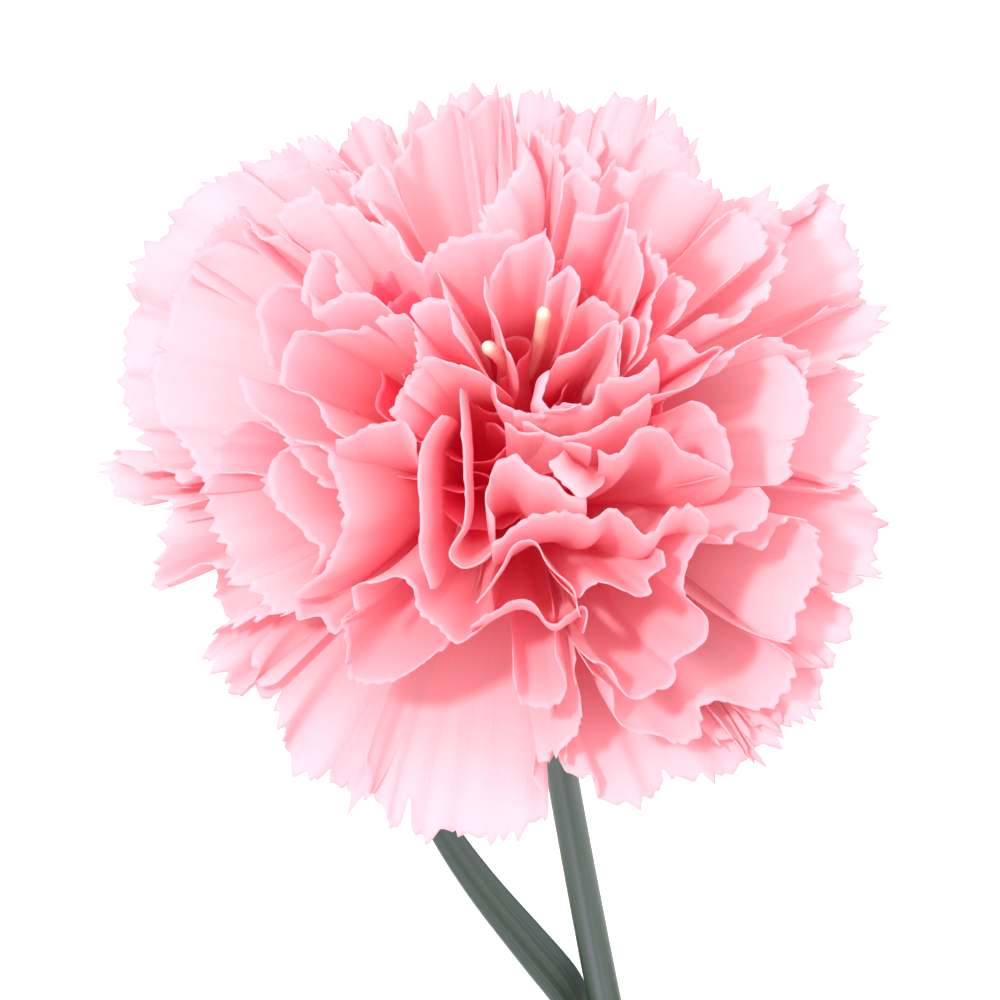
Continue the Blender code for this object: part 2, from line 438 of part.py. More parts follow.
def keep_main_body(obj):
    """Drops the slivers and sealed voids that crossing blades leave behind."""
    bm = bmesh.new()
    bm.from_mesh(obj.data)
    left = set(bm.faces)
    shells = []
    while left:
        shell = [left.pop()]
        for face in shell:
            for edge in face.edges:
                for other in edge.link_faces:
                    if len(edge.link_faces) == 2 and other in left:
                        left.remove(other)
                        shell.append(other)
        size = sum(f.verts[0].co.dot(f.normal) * f.calc_area() for f in shell)
        shells.append((size, shell))
    shells.sort(key=lambda item: -item[0])
    spare = [face for size, shell in shells[1:] for face in shell]
    bmesh.ops.delete(bm, geom=spare, context="FACES")
    bm.to_mesh(obj.data)
    bm.free()


def petal_solid(p, index):
    across = int(np.clip(round(p.span / (5 * MM)), 3, 7))
    mesh = grid_mesh(f"petal_{index}", across, 2)
    flat = mesh_points(mesh)
    s = BLADE_START + (1 - BLADE_START) * (flat[:, 1] + 1) / 2
    points = laid_down(blade_base(p, flat[:, 0], s)[0])
    points = pressed(points, 0.5 * BLADE_THICKNESS, PETAL_SOFTNESS)
    return solid_sheet(mesh.name, mesh, points, BLADE_THICKNESS)


# ---------------------------------------------------------------- turned pieces

def turned(name, profile, steps):
    """A solid of revolution from (height, radius) pairs in millimetres, listed from top to bottom."""
    bm = bmesh.new()
    last = None
    for height, radius in profile:
        vert = bm.verts.new((radius * MM, 0, height * MM))
        if last:
            bm.edges.new((last, vert))
        last = vert
    mesh = bpy.data.meshes.new(name)
    bm.to_mesh(mesh)
    bm.free()
    obj = bpy.data.objects.new(name, mesh)
    bpy.context.scene.collection.objects.link(obj)
    turn = obj.modifiers.new("turn", "SCREW")
    turn.steps = steps
    turn.render_steps = steps
    turn.use_merge_vertices = True
    turn.merge_threshold = 0.02 * MM
    freeze(obj)
    bm = bmesh.new()
    bm.from_mesh(obj.data)
    bmesh.ops.recalc_face_normals(bm, faces=bm.faces[:])
    bm.to_mesh(obj.data)
    bm.free()
    return obj


def lay_down(obj):
    obj.data.vertices.foreach_set("co", laid_down(mesh_points(obj.data)).ravel())
    obj.data.update()


def fused(name, pieces, operation="UNION"):
    """One Boolean of the first piece with all the others."""
    body = pieces[0]
    rest = bpy.data.collections.new(f"{name}_rest")
    for obj in pieces[1:]:
        rest.objects.link(obj)
    join = body.modifiers.new("join", "BOOLEAN")
    join.operation = operation
    join.operand_type = "COLLECTION"
    join.collection = rest
    join.solver = "MANIFOLD"
    freeze(body)
    for obj in pieces[1:]:
        bpy.data.objects.remove(obj)
    bpy.data.collections.remove(rest)
    body.name = name
    body.data.name = name
    return body


def tube(name, points, radii, segments=10):
    """A round solid along a path, thicker or thinner by its radii, with filled ends."""
    curve = bpy.data.curves.new(name, "CURVE")
    curve.dimensions = "3D"
    curve.bevel_depth = 1.0
    curve.bevel_resolution = max(0, segments // 4 - 1)
    curve.use_fill_caps = True
    line = curve.splines.new("POLY")
    line.points.add(len(points) - 1)
    for knot, point, radius in zip(line.points, points, radii):
        knot.co = (*point, 1)
        knot.radius = radius
    obj = bpy.data.objects.new(name, curve)
    scene_pieces = bpy.context.scene.collection.objects
    scene_pieces.link(obj)
    graph = bpy.context.evaluated_depsgraph_get()
    mesh = bpy.data.meshes.new_from_object(obj.evaluated_get(graph))
    bpy.data.objects.remove(obj)
    bpy.data.curves.remove(curve)
    bm = bmesh.new()
    bm.from_mesh(mesh)
    bmesh.ops.remove_doubles(bm, verts=bm.verts[:], dist=1e-7)
    bmesh.ops.recalc_face_normals(bm, faces=bm.faces[:])
    bm.to_mesh(mesh)
    bm.free()
    solid = bpy.data.objects.new(name, mesh)
    scene_pieces.link(solid)
    return solid


# ---------------------------------------------------------------- pistil

STYLES = (
    ((-1.5, -0.5, 16.4), (-1.8, -0.6, 18.4), (-3.2, -0.8, 21), (-4.4, -0.9, 26), (-5.3, -1.0, 31.5)),
    ((-1.5, -0.5, 16.4), (-1.4, -0.4, 18.4), (-1.0, 0.2, 21.5), (-0.4, 1.2, 27), (0.8, 2.6, 32.5)),
)


def style_paths():
    return [[Vector(point) * MM for point in path] for path in STYLES]


def pistil_solid(name, extra=0.0):
    """Two styles that part from one foot on the core."""
    pieces = []
    for j, path in enumerate(style_paths()):
        radii = np.linspace(STYLE_RADIUS, STYLE_TIP_RADIUS, len(path)) + extra
        if extra:
            path = [path[0] - Vector((0, 0, extra))] + path[1:-1] + [path[-1] * 1.03]
        pieces.append(tube(f"{name}_{j}", path, radii))
    return fused(name, pieces)


# ---------------------------------------------------------------- calyx

def calyx_solid():
    """A cup whose rim rises in pointed teeth."""
    inner = [(height, radius - CALYX_WALL) for height, radius in CALYX if height >= CALYX_FLOOR]
    profile = [(CALYX_FLOOR, 0)] + inner[::-1] + list(CALYX) + [(CALYX[-1][0], 0)]
    obj = turned("calyx", profile, 40)
    for vert in obj.data.vertices:
        if vert.co.z > (CALYX[0][0] - 0.1) * MM:
            turn = math.atan2(vert.co.y, vert.co.x) * CALYX_TEETH / (2 * math.pi)
            rise = 1 - 2 * abs(turn - round(turn))
            vert.co.z += TOOTH_LENGTH * rise
    lay_down(obj)
    return obj


def bract_solid(j):
    """A short pointed scale hugging the foot of the calyx."""
    rows = len(BRACT_HALF_WIDTHS) - 1
    mesh = grid_mesh(f"bract_{j}", 4, rows)
    flat = mesh_points(mesh)
    v = (flat[:, 1] + 1) / 2
    height = BRACT_FOOT + BRACT_LENGTH * v
    heights, radii = zip(*reversed(CALYX))
    radius = np.interp(height, heights, radii) + BRACT_GAP
    half = np.array(BRACT_HALF_WIDTHS)[np.round(v * rows).astype(int)]
    middle = math.radians(45 + j * 360 / BRACTS)
    angle = middle + flat[:, 0] * half / np.maximum(radius, BRACT_LEAST_RADIUS)
    points = np.stack([radius * np.cos(angle), radius * np.sin(angle), height], -1) * MM
    return solid_sheet(mesh.name, mesh, laid_down(points), BRACT_THICKNESS * MM)


# ---------------------------------------------------------------- stem and leaves

def stem_line(count=240):
    """Distance, position (x, y, z) and slope of the stem's middle line from the calyx to the cut."""
    along = np.linspace(0, STEM_LENGTH, count)
    x = -STEM_SWAY * (along / STEM_LENGTH) ** 2
    slope = AXIS_RISE * np.clip(1 - along / STEM_BEND_LENGTH, 0, 1)
    step = along[1] - along[0]
    mid = (slope[1:] + slope[:-1]) / 2
    y = STEM_START * math.cos(AXIS_RISE) + np.concatenate([[0], np.cumsum(np.cos(mid) * step)])
    z = MOUTH_HEIGHT - STEM_START * math.sin(AXIS_RISE)
    z = z - np.concatenate([[0], np.cumsum(np.sin(mid) * step)])
    return along, x, y, z, slope


def stem_radius(along):
    radius = STEM_TOP_RADIUS + (STEM_END_RADIUS - STEM_TOP_RADIUS) * along / STEM_LENGTH
    radius = radius + COLLAR_SWELLING * np.exp(-(along / COLLAR_SPREAD) ** 2)
    for joint in JOINTS:
        radius = radius + JOINT_SWELLING * np.exp(-((along - joint) / JOINT_SPREAD) ** 2)
    return radius


def stem_at(distance):
    """A place on the stem's middle line, the way to the flower there, and the way up."""
    along, *values = stem_line()
    x, y, z, slope = (float(np.interp(distance, along, value)) for value in values)
    aside = 2 * STEM_SWAY * distance / STEM_LENGTH**2
    ahead = Vector((aside, -math.cos(slope), math.sin(slope))).normalized()
    return Vector((x, y, z)), ahead, Vector((0, math.sin(slope), math.cos(slope)))


def stem_solid():
    stations = set(np.linspace(0, STEM_LENGTH, 15))
    for joint in JOINTS:
        stations |= {joint + d * MM for d in JOINT_STATIONS}
    stations = sorted(stations)
    points = [stem_at(d)[0] for d in stations]
    return tube("stem", points, [float(stem_radius(d)) for d in stations], 16)


def leaf_points(joint, azimuth, length, half, twist, angles, v, t):
    """Points of a leaf: v runs from its foot round the stem to its tip, t across it from -1 to 1."""
    start, ahead, lift = stem_at(JOINTS[joint])
    turn = math.radians(azimuth)
    side = lift.cross(ahead) * math.cos(turn) + lift * math.sin(turn)
    across = ahead.cross(side)
    fine = np.linspace(0, 1, 161)
    opening = np.radians(np.interp(fine, np.linspace(SHEATH_LENGTH / length, 1, len(angles)), angles))
    step = length / 160
    mid = (opening[1:] + opening[:-1]) / 2
    forward = np.concatenate([[0], np.cumsum(np.cos(mid) * step)])
    away = np.concatenate([[0], np.cumsum(np.sin(mid) * step)])
    f = np.interp(v, fine, forward)
    o = np.interp(v, fine, away)
    a = np.interp(v, fine, opening)
    hug = stem_radius(JOINTS[joint] - np.minimum(v * length, 8 * MM)) + SHEATH_GAP + 0.5 * LEAF_THICKNESS
    part = smooth((v * length - SHEATH_END[0]) / (SHEATH_END[1] - SHEATH_END[0]))
    bend = hug + (LEAF_FOLD * half - hug) * part
    reach = SHEATH_REACH * (1 - part)
    blade = half * np.minimum(1, 1.15 * (1 - v) ** 0.62) * smooth(0.35 + v * 6)
    blade = np.maximum(blade, LEAF_LEAST_WIDTH)
    theta = t * (reach + (blade / bend) * part)
    dip = -bend * (1 - np.cos(theta))
    aside = bend * np.sin(theta)
    swing = math.radians(twist) * smooth((v * length - TWIST_START) / TWIST_LENGTH)
    aside, dip = aside * np.cos(swing) - dip * np.sin(swing), aside * np.sin(swing) + dip * np.cos(swing)
    ahead, side, across = (np.array(vector) for vector in (ahead, side, across))
    forward, outward = f - dip * np.sin(a), o + hug + dip * np.cos(a)
    return np.array(start) + forward[:, None] * ahead + outward[:, None] * side + aside[:, None] * across


def leaf_solid(name, *leaf):
    mesh = grid_mesh(name, 6, 18)
    flat = mesh_points(mesh)
    points = leaf_points(*leaf, (flat[:, 1] + 1) / 2, flat[:, 0])
    points = pressed(points, 0.5 * LEAF_THICKNESS, LEAF_SOFTNESS)
    return solid_sheet(name, mesh, points, LEAF_THICKNESS)


# ---------------------------------------------------------------- assembly

# Colour and roughness
PETAL_FINISH = ((0.95, 0.42, 0.46), 0.55)
PISTIL_FINISH = ((0.93, 0.86, 0.72), 0.5)
CALYX_FINISH = ((0.20, 0.30, 0.16), 0.55)
STEM_FINISH = ((0.17, 0.25, 0.19), 0.5)
LEAF_FINISH = ((0.17, 0.24, 0.20), 0.55)


def paint(obj, colour, roughness):
    material = bpy.data.materials.new(obj.name)
    material.use_nodes = True
    shader = material.node_tree.nodes["Principled BSDF"]
    shader.inputs["Base Color"].default_value = (*colour, 1)
    shader.inputs["Roughness"].default_value = roughness
    obj.data.materials.clear()
    obj.data.materials.append(material)


def centred(objects):
    """Everything moved so that the middle of the bottom of the box round it is the origin."""
    corners = np.concatenate([mesh_points(obj.data) for obj in objects])
    low = corners.min(axis=0)
    high = corners.max(axis=0)
    shift = np.array([-(low[0] + high[0]) / 2, -(low[1] + high[1]) / 2, -low[2]])
    for obj in objects:
        obj.data.vertices.foreach_set("co", (mesh_points(obj.data) + shift).ravel())
        obj.data.update()


def main():
    for obj in list(bpy.data.objects):
        bpy.data.objects.remove(obj)
    petals = all_petals()
    core = turned("core", CORE, 20)
    lay_down(core)
    bloom = fused("bloom", [core] + [petal_solid(p, j) for j, p in enumerate(petals)])
    room = pistil_solid("pistil_room", PISTIL_GAP)
    lay_down(room)
    bloom = fused("bloom", [bloom, room], "DIFFERENCE")
    keep_main_body(bloom)
    lighten(bloom, BLOOM_TRIANGLES)
    keep_main_body(bloom)
    pistil = pistil_solid("pistil")
    lay_down(pistil)
    calyx = fused("calyx", [calyx_solid()] + [bract_solid(j) for j in range(BRACTS)])
    stem = stem_solid()
    leaves = [leaf_solid(*leaf) for leaf in LEAVES]
    nodes = [bloom, pistil, calyx, stem] + leaves
    paint(bloom, *PETAL_FINISH)
    paint(pistil, *PISTIL_FINISH)
    paint(calyx, *CALYX_FINISH)
    paint(stem, *STEM_FINISH)
    for leaf in leaves:
        paint(leaf, *LEAF_FINISH)
    centred(nodes)
    group = bpy.data.collections.new("cut_carnation")
    bpy.context.scene.collection.children.link(group)
    for obj in nodes:
        for owner in list(obj.users_collection):
            owner.objects.unlink(obj)
        group.objects.link(obj)


if __name__ == "__main__":
    main()
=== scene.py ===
"""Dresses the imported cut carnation: fine petals, pistil, calyx, stem and leaves, and a white studio."""
import math
from types import SimpleNamespace

import bmesh
import bpy
import numpy as np
from bpy.props import FloatProperty, FloatVectorProperty, PointerProperty
from mathutils import Matrix, Vector


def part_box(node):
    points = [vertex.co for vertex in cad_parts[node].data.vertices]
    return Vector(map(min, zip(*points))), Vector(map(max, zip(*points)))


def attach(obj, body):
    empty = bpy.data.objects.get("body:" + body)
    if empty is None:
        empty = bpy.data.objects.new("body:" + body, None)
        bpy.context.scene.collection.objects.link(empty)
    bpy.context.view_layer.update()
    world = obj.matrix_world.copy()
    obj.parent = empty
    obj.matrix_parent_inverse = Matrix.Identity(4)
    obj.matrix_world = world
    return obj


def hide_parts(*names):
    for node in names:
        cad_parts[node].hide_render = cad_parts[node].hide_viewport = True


bl_info = {
    "name": "Cut Carnation",
    "version": (1, 0, 0),
    "blender": (4, 5, 0),
    "location": "View3D > Sidebar > Carnation",
    "description": "Builds the fine surfaces of a cut carnation over its packed solids",
    "category": "Add Mesh",
}

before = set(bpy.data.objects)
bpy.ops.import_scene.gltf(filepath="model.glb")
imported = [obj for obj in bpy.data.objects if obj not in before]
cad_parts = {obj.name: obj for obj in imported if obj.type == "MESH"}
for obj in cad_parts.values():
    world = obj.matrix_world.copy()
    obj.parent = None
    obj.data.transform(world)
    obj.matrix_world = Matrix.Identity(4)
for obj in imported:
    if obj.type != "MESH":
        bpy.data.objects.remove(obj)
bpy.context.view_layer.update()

MM = 0.001

# The lying pose, as in the solids
AXIS_RISE = math.radians(20)        # slope of the flower's axis above the table
MOUTH_HEIGHT = 31.5 * MM            # mouth of the calyx above the table
PETAL_SOFTNESS = 0.8 * MM           # how gradually a petal bends to lie on the table
LEAF_SOFTNESS = 0.1 * MM

# Petals, as in the solids
CLAW_HALF_WIDTH = 1.7 * MM
CLAW_REACH = 0.38                   # the share of its reach over which a petal leaves the claw
CLAW_RISE, CLAW_LEAN = 0.95, 0.3    # and the way that it goes there: up, and outward
SPREADING = 0.25                    # how much of its lean a petal takes from each place on its margin
DOME_TOP = 31.0                     # height of the dome above the calyx, and how fast it falls away
DOME_FALL = 0.0165
FACE_TILT = math.radians(28)        # the dome is laid out as seen at this slant, turn and distance
FACE_TURN = math.radians(9)
FACE_DISTANCE = 600.0
RIM_HEIGHT = 3.0                    # lowest margin above the calyx
TABLE_DEPTH = -29.5                 # lowest margin below the mouth of the calyx, at the table
FLATNESS = 6.0                      # how gently a margin is tilted to follow the dome
LOBE_DEPTH = 0.2                    # how closely its lobes follow the dome, less than in the solids
# Each petal as it shows on the face of the bloom: the way it leans (degrees, clockwise from the right),
# how far its margin flares from the axis (degrees), and its margin as (right, down, lift above the dome)
# in millimetres
GUARDS = (
    (190, 98, (-34, 1, -3), (-36.5, -3.5, -3), (-38.6, -8, -3), (-38.8, -12, -3), (-38, -17, -2),
     (-36, -22, -1)),
    (215, 98, (-38, -18, -3), (-37.2, -21, -3), (-34, -26, -2), (-30, -30, -1), (-27, -30.5, 0),
     (-24, -28, 1)),
    (230, 95, (-29, -27, 1), (-27.5, -30.5, 0), (-24, -32.5, 0), (-20, -33.8, 1), (-17.5, -32.3, 2),
     (-15.5, -29, 3)),
    (247, 80, (-17.6, -32.6, 2), (-16.4, -34.8, 2), (-14.4, -35.9, 2), (-12.8, -35, 2),
     (-11.6, -33.4, 3)),
    (258, 75, (-11.2, -34.4, 3), (-10.4, -35.9, 2), (-8.8, -36.9, 2), (-6.4, -37.6, 2), (-4.4, -38.8, 2),
     (-2.8, -38, 3)),
    (270, 75, (-1.6, -37, 3), (-0.8, -38.6, 2), (1, -38.8, 2), (3, -38, 2), (5, -36.6, 2)),
    (279, 75, (4, -36, 3), (5.2, -37, 2), (6.6, -36.6, 2), (7.9, -36.6, 2)),
    (290, 80, (7.6, -36, 2), (8.6, -37.1, 1), (10.4, -38, 1), (13, -37.5, 1), (15.5, -35.8, 1),
     (18, -33, 1)),
    (305, 92, (18.5, -30, 1), (21, -28, 0), (24.3, -28, 0), (26.5, -26, 0), (27.5, -23, 0)),
    (320, 95, (25.5, -25, 0), (28.5, -27, -1), (31.2, -28.6, -1), (32.6, -25.3, -1), (34, -22.5, -2),
     (34, -19, -2), (31, -16, -1)),
    (337, 98, (33, -19, -2), (35.7, -17, -2), (36, -15, -2), (34.5, -13, -2), (32.3, -12, -1),
     (30, -10, 0)),
    (350, 98, (31.5, -12, -3), (33.6, -10.5, -3), (33.3, -8, -3), (35, -6, -3), (34.6, -3, -3),
     (33.5, -1, -3), (33, 1.2, -2), (29, 0.5, -1)),
    (8, 98, (30, -1, -3), (34, 1.5, -3), (36, 2.8, -3), (36.2, 5, -3), (35.4, 8, -3), (35.3, 9.8, -3),
     (30, 10, -2)),
    (25, 98, (29.5, 9.5, -4), (31.5, 11.5, -4), (33.5, 13.8, -4), (32.3, 16.5, -4), (31.5, 18.8, -4),
     (28, 19, -2)),
    (38, 98, (30.5, 18, -4), (30.3, 21, -4), (28.3, 24, -4), (25.5, 24.2, -4), (22, 22.5, -2)),
    (48, 98, (26.5, 23, -4), (26.2, 25.5, -5), (24, 26.3, -5), (20, 24, -3)),
    (55, 98, (23.5, 25, -5), (24.3, 27.8, -5), (22.5, 27, -4), (19, 24.5, -3)),
    (68, 95, (23, 26.5, -3), (21.8, 28.8, -3), (18.5, 29.6, -3), (15, 29.8, -3), (13, 31.6, -3),
     (10, 32.2, -3), (8, 30.3, -3), (5.6, 29.2, -3), (4.8, 26, -2)),
    (98, 95, (2.4, 29, -3), (2.1, 33.8, -3), (-0.5, 35.2, -3), (-3.5, 35.8, -3), (-6, 34.7, -3),
     (-9.5, 35.2, -3), (-12.5, 34.5, -3), (-13.5, 32, -3), (-15, 28, -3)),
    (120, 95, (-13.5, 31, -3), (-16.2, 32, -3), (-16.5, 30.2, -3), (-19.5, 30.2, -3), (-21.6, 28.5, -3),
     (-23, 25, -3), (-24.3, 22, -3), (-26, 20.5, -3), (-26, 17, -2)),
    (142, 95, (-24, 20, -2), (-27.8, 21, -2), (-28.8, 19, -2), (-30.6, 18, -2), (-28, 14.5, -1),
     (-24.5, 13, 0)),
    (163, 90, (-30.6, 1.2, 0), (-29.6, 5, 0), (-28, 8, -1), (-27.4, 10.8, -1), (-25.4, 10.6, -1),
     (-24.8, 12.5, 0), (-22, 12.8, 1)),
    (170, 95, (-32, 2, -1), (-34.4, 4, -2), (-34.8, 7, -2), (-36, 10.2, -2), (-32, 9.3, -2),
     (-28, 8.2, -1)),
    (183, 95, (-31, 0, -1), (-36, -0.8, -2), (-40, -1.8, -2), (-39.6, 1.2, -3), (-36, 1.9, -2),
     (-32.5, 3.5, -1)),
)
COLLAR = (
    (188, 90, (-31, 0, 0), (-33, -3.5, 0), (-35.4, -6.5, 0), (-36, -10, 0), (-35.2, -14, 0),
     (-33.8, -18, 0.5), (-32, -22, 1), (-29, -24, 2)),
    (212, 88, (-32, -20, 1), (-31.6, -22.6, 1), (-28.8, -25.6, 1), (-26, -25, 2), (-23, -24, 3)),
    (228, 85, (-27, -24, 2), (-26, -28.5, 2), (-23.8, -30, 2), (-20, -31, 2), (-16.8, -30.3, 3),
     (-14.5, -27, 4)),
    (235, 70, (-24, -26, 2), (-21.5, -28, 2.5), (-18, -27.4, 3), (-15, -26.4, 3), (-12.6, -24.8, 3),
     (-10, -22.2, 3), (-8, -20, 2), (-6.5, -18, 1)),
    (247, 65, (-16.6, -29, 3), (-15, -30.4, 3), (-13.5, -32, 3), (-12.8, -30.6, 3)),
    (259, 60, (-12, -30.6, 2), (-11.2, -33, 2.5), (-9.4, -35, 3), (-7.8, -36, 3), (-6.2, -37.2, 3),
     (-4.9, -36.2, 3), (-3.4, -37.6, 3), (-1.7, -38.9, 3), (-1, -36.4, 3)),
    (205, 55, (-3.8, -25, 2), (-2.4, -27.2, 2.5), (-0.6, -29.6, 3), (0.9, -32.2, 3.5), (0.5, -35.6, 3.5)),
    (274, 50, (1.2, -33.4, 3.5), (2, -34.7, 3.5), (3, -34, 3.5), (3.9, -32.4, 3.5), (4.5, -30.6, 3.5)),
    (283, 62, (4.1, -32.6, 3.5), (4.8, -33.6, 4), (6.4, -33.5, 4), (7.6, -32.4, 4), (8.2, -30.9, 4)),
    (286, 45, (4.4, -28.4, 3.5), (5.2, -30, 3.5), (6.2, -31, 3.5), (7.3, -30, 3.5), (8.5, -29, 3.5)),
    (298, 78, (8, -33, 2.5), (9.2, -34.6, 2.5), (12, -33.7, 2.5), (14, -34.1, 2.5), (16.4, -32.6, 2),
     (18.6, -31, 2)),
    (302, 68, (8.2, -30.4, 3), (10, -31.2, 3), (12, -30.6, 3), (15, -30.9, 3), (18, -30, 3),
     (20.6, -28.4, 2)),
    (312, 80, (20, -26, 1), (22.5, -26.5, 1), (24.5, -25, 1), (24, -22, 1), (21.5, -20.5, 1)),
    (325, 80, (24, -26, 0), (26.2, -24, 0), (26, -20.5, 0.5), (24.6, -18, 1), (22, -16, 2), (19, -16, 3)),
    (350, 80, (26.5, -12.5, 1), (28.5, -10.5, 1), (29.3, -7.5, 0), (29, -5.5, 0), (27.6, -3.8, 0),
     (27.5, -1, 0), (25, 0.5, 0)),
    (338, 70, (20, -11, 2), (22, -12.6, 2), (24.2, -13.9, 1.5), (27, -13.6, 1), (29.3, -12.5, 0.5),
     (28, -10, 1)),
    (22, 75, (24.5, 7, 0), (26, 4.8, 0), (29.8, 4.9, -1), (30.2, 8, -1), (28.6, 12, -1), (27, 16.6, -1),
     (24.5, 15.5, 0)),
    (50, 80, (25.5, 16.5, -1), (27.8, 19.5, -1.5), (26, 21.8, -2), (22.5, 22.5, -2), (18.2, 23, -1.5),
     (17.9, 25.3, -2), (14.5, 26, -2), (12, 25.3, -1.5), (9, 21, -1), (7.2, 18, 0)),
    (80, 80, (2.2, 28, -2), (4, 28.1, -2), (5.4, 26, -2), (6.1, 22, -1), (6.3, 18, 0)),
)
LEFT = (
    (180, 75, (-31.5, 1.3, 1), (-30, -0.4, 1), (-27, -0.7, 1.5), (-25.3, 0.2, 2), (-24.5, 2, 2)),
    (190, 80, (-29.6, -0.5, 1), (-30, -1.6, 1), (-28.8, -4.5, 1), (-26.4, -6.2, 2), (-24, -4.6, 2)),
    (175, 70, (-22.5, -3.5, 3), (-24.6, -0.7, 2.5), (-24.4, 1.5, 2.5), (-23.8, 2.9, 2.5), (-21, 5.2, 2.5),
     (-19.7, 6.6, 2.5), (-20.3, 9.6, 2)),
    (178, 60, (-22, -4.2, 4), (-19.8, -3.6, 4), (-18.6, -1, 4), (-17.4, 1.5, 4), (-17.2, 4, 3.5),
     (-17.8, 7, 3), (-20, 9.8, 2.5), (-22, 12.2, 2)),
    (195, 75, (-27.6, -10.3, 2), (-26.8, -8, 2), (-24.5, -5.8, 3), (-22, -2.6, 3.5), (-19, 1, 3)),
    (205, 65, (-24.6, -11, 2), (-25.3, -15.5, 2), (-25.6, -17.6, 2), (-23.8, -19.5, 2), (-21.2, -18.8, 3),
     (-20, -16.5, 3.5)),
    (225, 60, (-21.3, -18, 3), (-20.6, -21.4, 3), (-19.6, -23, 3), (-18.4, -22.3, 3.5),
     (-17.3, -18.5, 4)),
    (200, 50, (-14.6, -15.4, 5), (-17.6, -14.6, 4.5), (-20.8, -14.9, 4), (-23.4, -11.8, 3),
     (-23.4, -10, 3), (-21, -8.6, 4), (-19.2, -6, 5), (-16.8, -4.3, 5)),
    (215, 35, (-14, -15.6, 5), (-11.5, -16, 5), (-9.6, -13.8, 5), (-10, -11, 5), (-11.4, -8.6, 4.5),
     (-12.2, -6.2, 4)),
    (230, 45, (-20, -16.8, 4), (-17.5, -18.1, 4), (-14.6, -18.3, 4.5), (-12.4, -17, 5), (-11, -15.4, 5)),
    (240, 40, (-10.6, -16.6, 5), (-9, -17.9, 5), (-7.4, -17.8, 5), (-6.3, -15.6, 5), (-5, -13, 4.5)),
    (215, 40, (-11.2, -8.6, 4), (-10.2, -11, 4.5), (-8.4, -12.2, 4.5), (-6, -11.8, 4), (-3.6, -11, 3)),
    (125, -10, (-18, -4.1, 5), (-16, -4.4, 5), (-13, -5.7, 5), (-11.4, -6, 4.5), (-9.9, -3.8, 4)),
)
TOP = (
    (262, 35, (-9.4, -21.3, 4), (-8, -23, 4), (-5, -24.3, 4.5), (-2.5, -24.8, 4.5), (0.4, -24.4, 4.5)),
    (275, 30, (-2.6, -20, 3.5), (-1, -22.8, 4.5), (1.2, -23.6, 5), (3, -24.7, 5), (3.5, -22, 5),
     (3.2, -19.8, 4.5), (5.4, -21.4, 5), (6.2, -20, 5), (5.2, -17.5, 4)),
    (235, 20, (-3, -20.2, 4), (-3, -18, 4), (-2.2, -16, 3.5), (-1.7, -14.6, 3), (-0.4, -12.5, 2)),
    (290, 35, (5.9, -26.3, 4.5), (8, -26.4, 4.5), (10.9, -27.4, 4.5), (11, -25, 4.5), (12, -24.8, 4.5),
     (12.3, -22, 4.5), (12.6, -18.5, 4), (11.4, -16.8, 4)),
    (320, 45, (13.2, -25, 3.5), (13.8, -22.4, 4), (14.6, -22, 4), (14, -18.5, 4), (13.2, -15, 4),
     (12.4, -12.2, 3.5)),
    (330, 60, (14.8, -20.2, 3), (16.4, -20.4, 3), (17.8, -18.8, 3), (17, -17.2, 3), (15.3, -15.7, 3.5)),
    (300, 25, (5.6, -17, 2), (7, -17.8, 2.5), (9, -17.7, 2.5), (10.2, -16.2, 3)),
    (310, 30, (4.2, -12.2, 1), (6, -13, 2), (7.6, -14.4, 2.5), (9.9, -15.6, 3), (10.4, -13, 3),
     (10, -10, 2.5)),
    (320, 30, (10.4, -9.8, 2.5), (10.4, -14.5, 3), (12, -16, 3.5), (12.6, -15, 3.5), (12.2, -12.5, 3.5)),
    (20, 10, (-2.6, -9.4, 1), (-1.2, -7.6, 1.5), (0.6, -6.2, 2), (3, -6, 2.5)),
)
RIGHT = (
    (60, -15, (-0.3, -6.6, 1.5), (2.8, -6.4, 2), (5.3, -7.3, 2.5), (7.2, -7.6, 3), (8.4, -9.5, 3),
     (11, -10, 3.5), (14, -12, 3.5)),
    (60, -5, (0.6, -5.6, 2), (4, -4.3, 3), (8, -4.9, 3.5), (11, -6.6, 4), (13.4, -8.4, 4)),
    (85, 5, (-1.2, -5.4, 2), (1.5, -4.7, 2.5), (4.5, -3.7, 3), (7.5, -3, 3.5)),
    (345, 50, (14.8, -14.4, 3), (17.4, -13.6, 3), (18.3, -12.4, 3), (20.7, -12.9, 2.5), (19.4, -11.2, 3),
     (15.5, -8.8, 3.5), (13.4, -8, 3.5)),
    (352, 50, (17.5, -7.6, 2), (19.4, -7, 2), (20.4, -5.6, 2), (21.2, -3, 2), (21.2, -1, 2),
     (19, -0.3, 2.5)),
    (80, -10, (8.2, -2.6, 4), (9.6, -2.4, 4), (11.4, -3.6, 4), (12.7, -5, 4), (15.5, -4.5, 3.5),
     (16.2, -3, 3.5), (18.5, -1.9, 3), (21.4, -0.8, 2.5)),
    (5, 65, (24.4, 0.8, 1.5), (25, 2.8, 1.5), (24, 4.9, 1.5), (21.9, 5.6, 1.5), (21.7, 6.6, 1.5),
     (19.3, 5.8, 2)),
    (95, -25, (-2.2, 4, 2), (-2.9, 1, 2.5), (-2.4, -1, 3), (-0.2, -2, 3.5), (1.8, -0.6, 4), (4, 0, 4.5),
     (5.5, 1.6, 4.5), (7, 1.8, 4.5)),
)
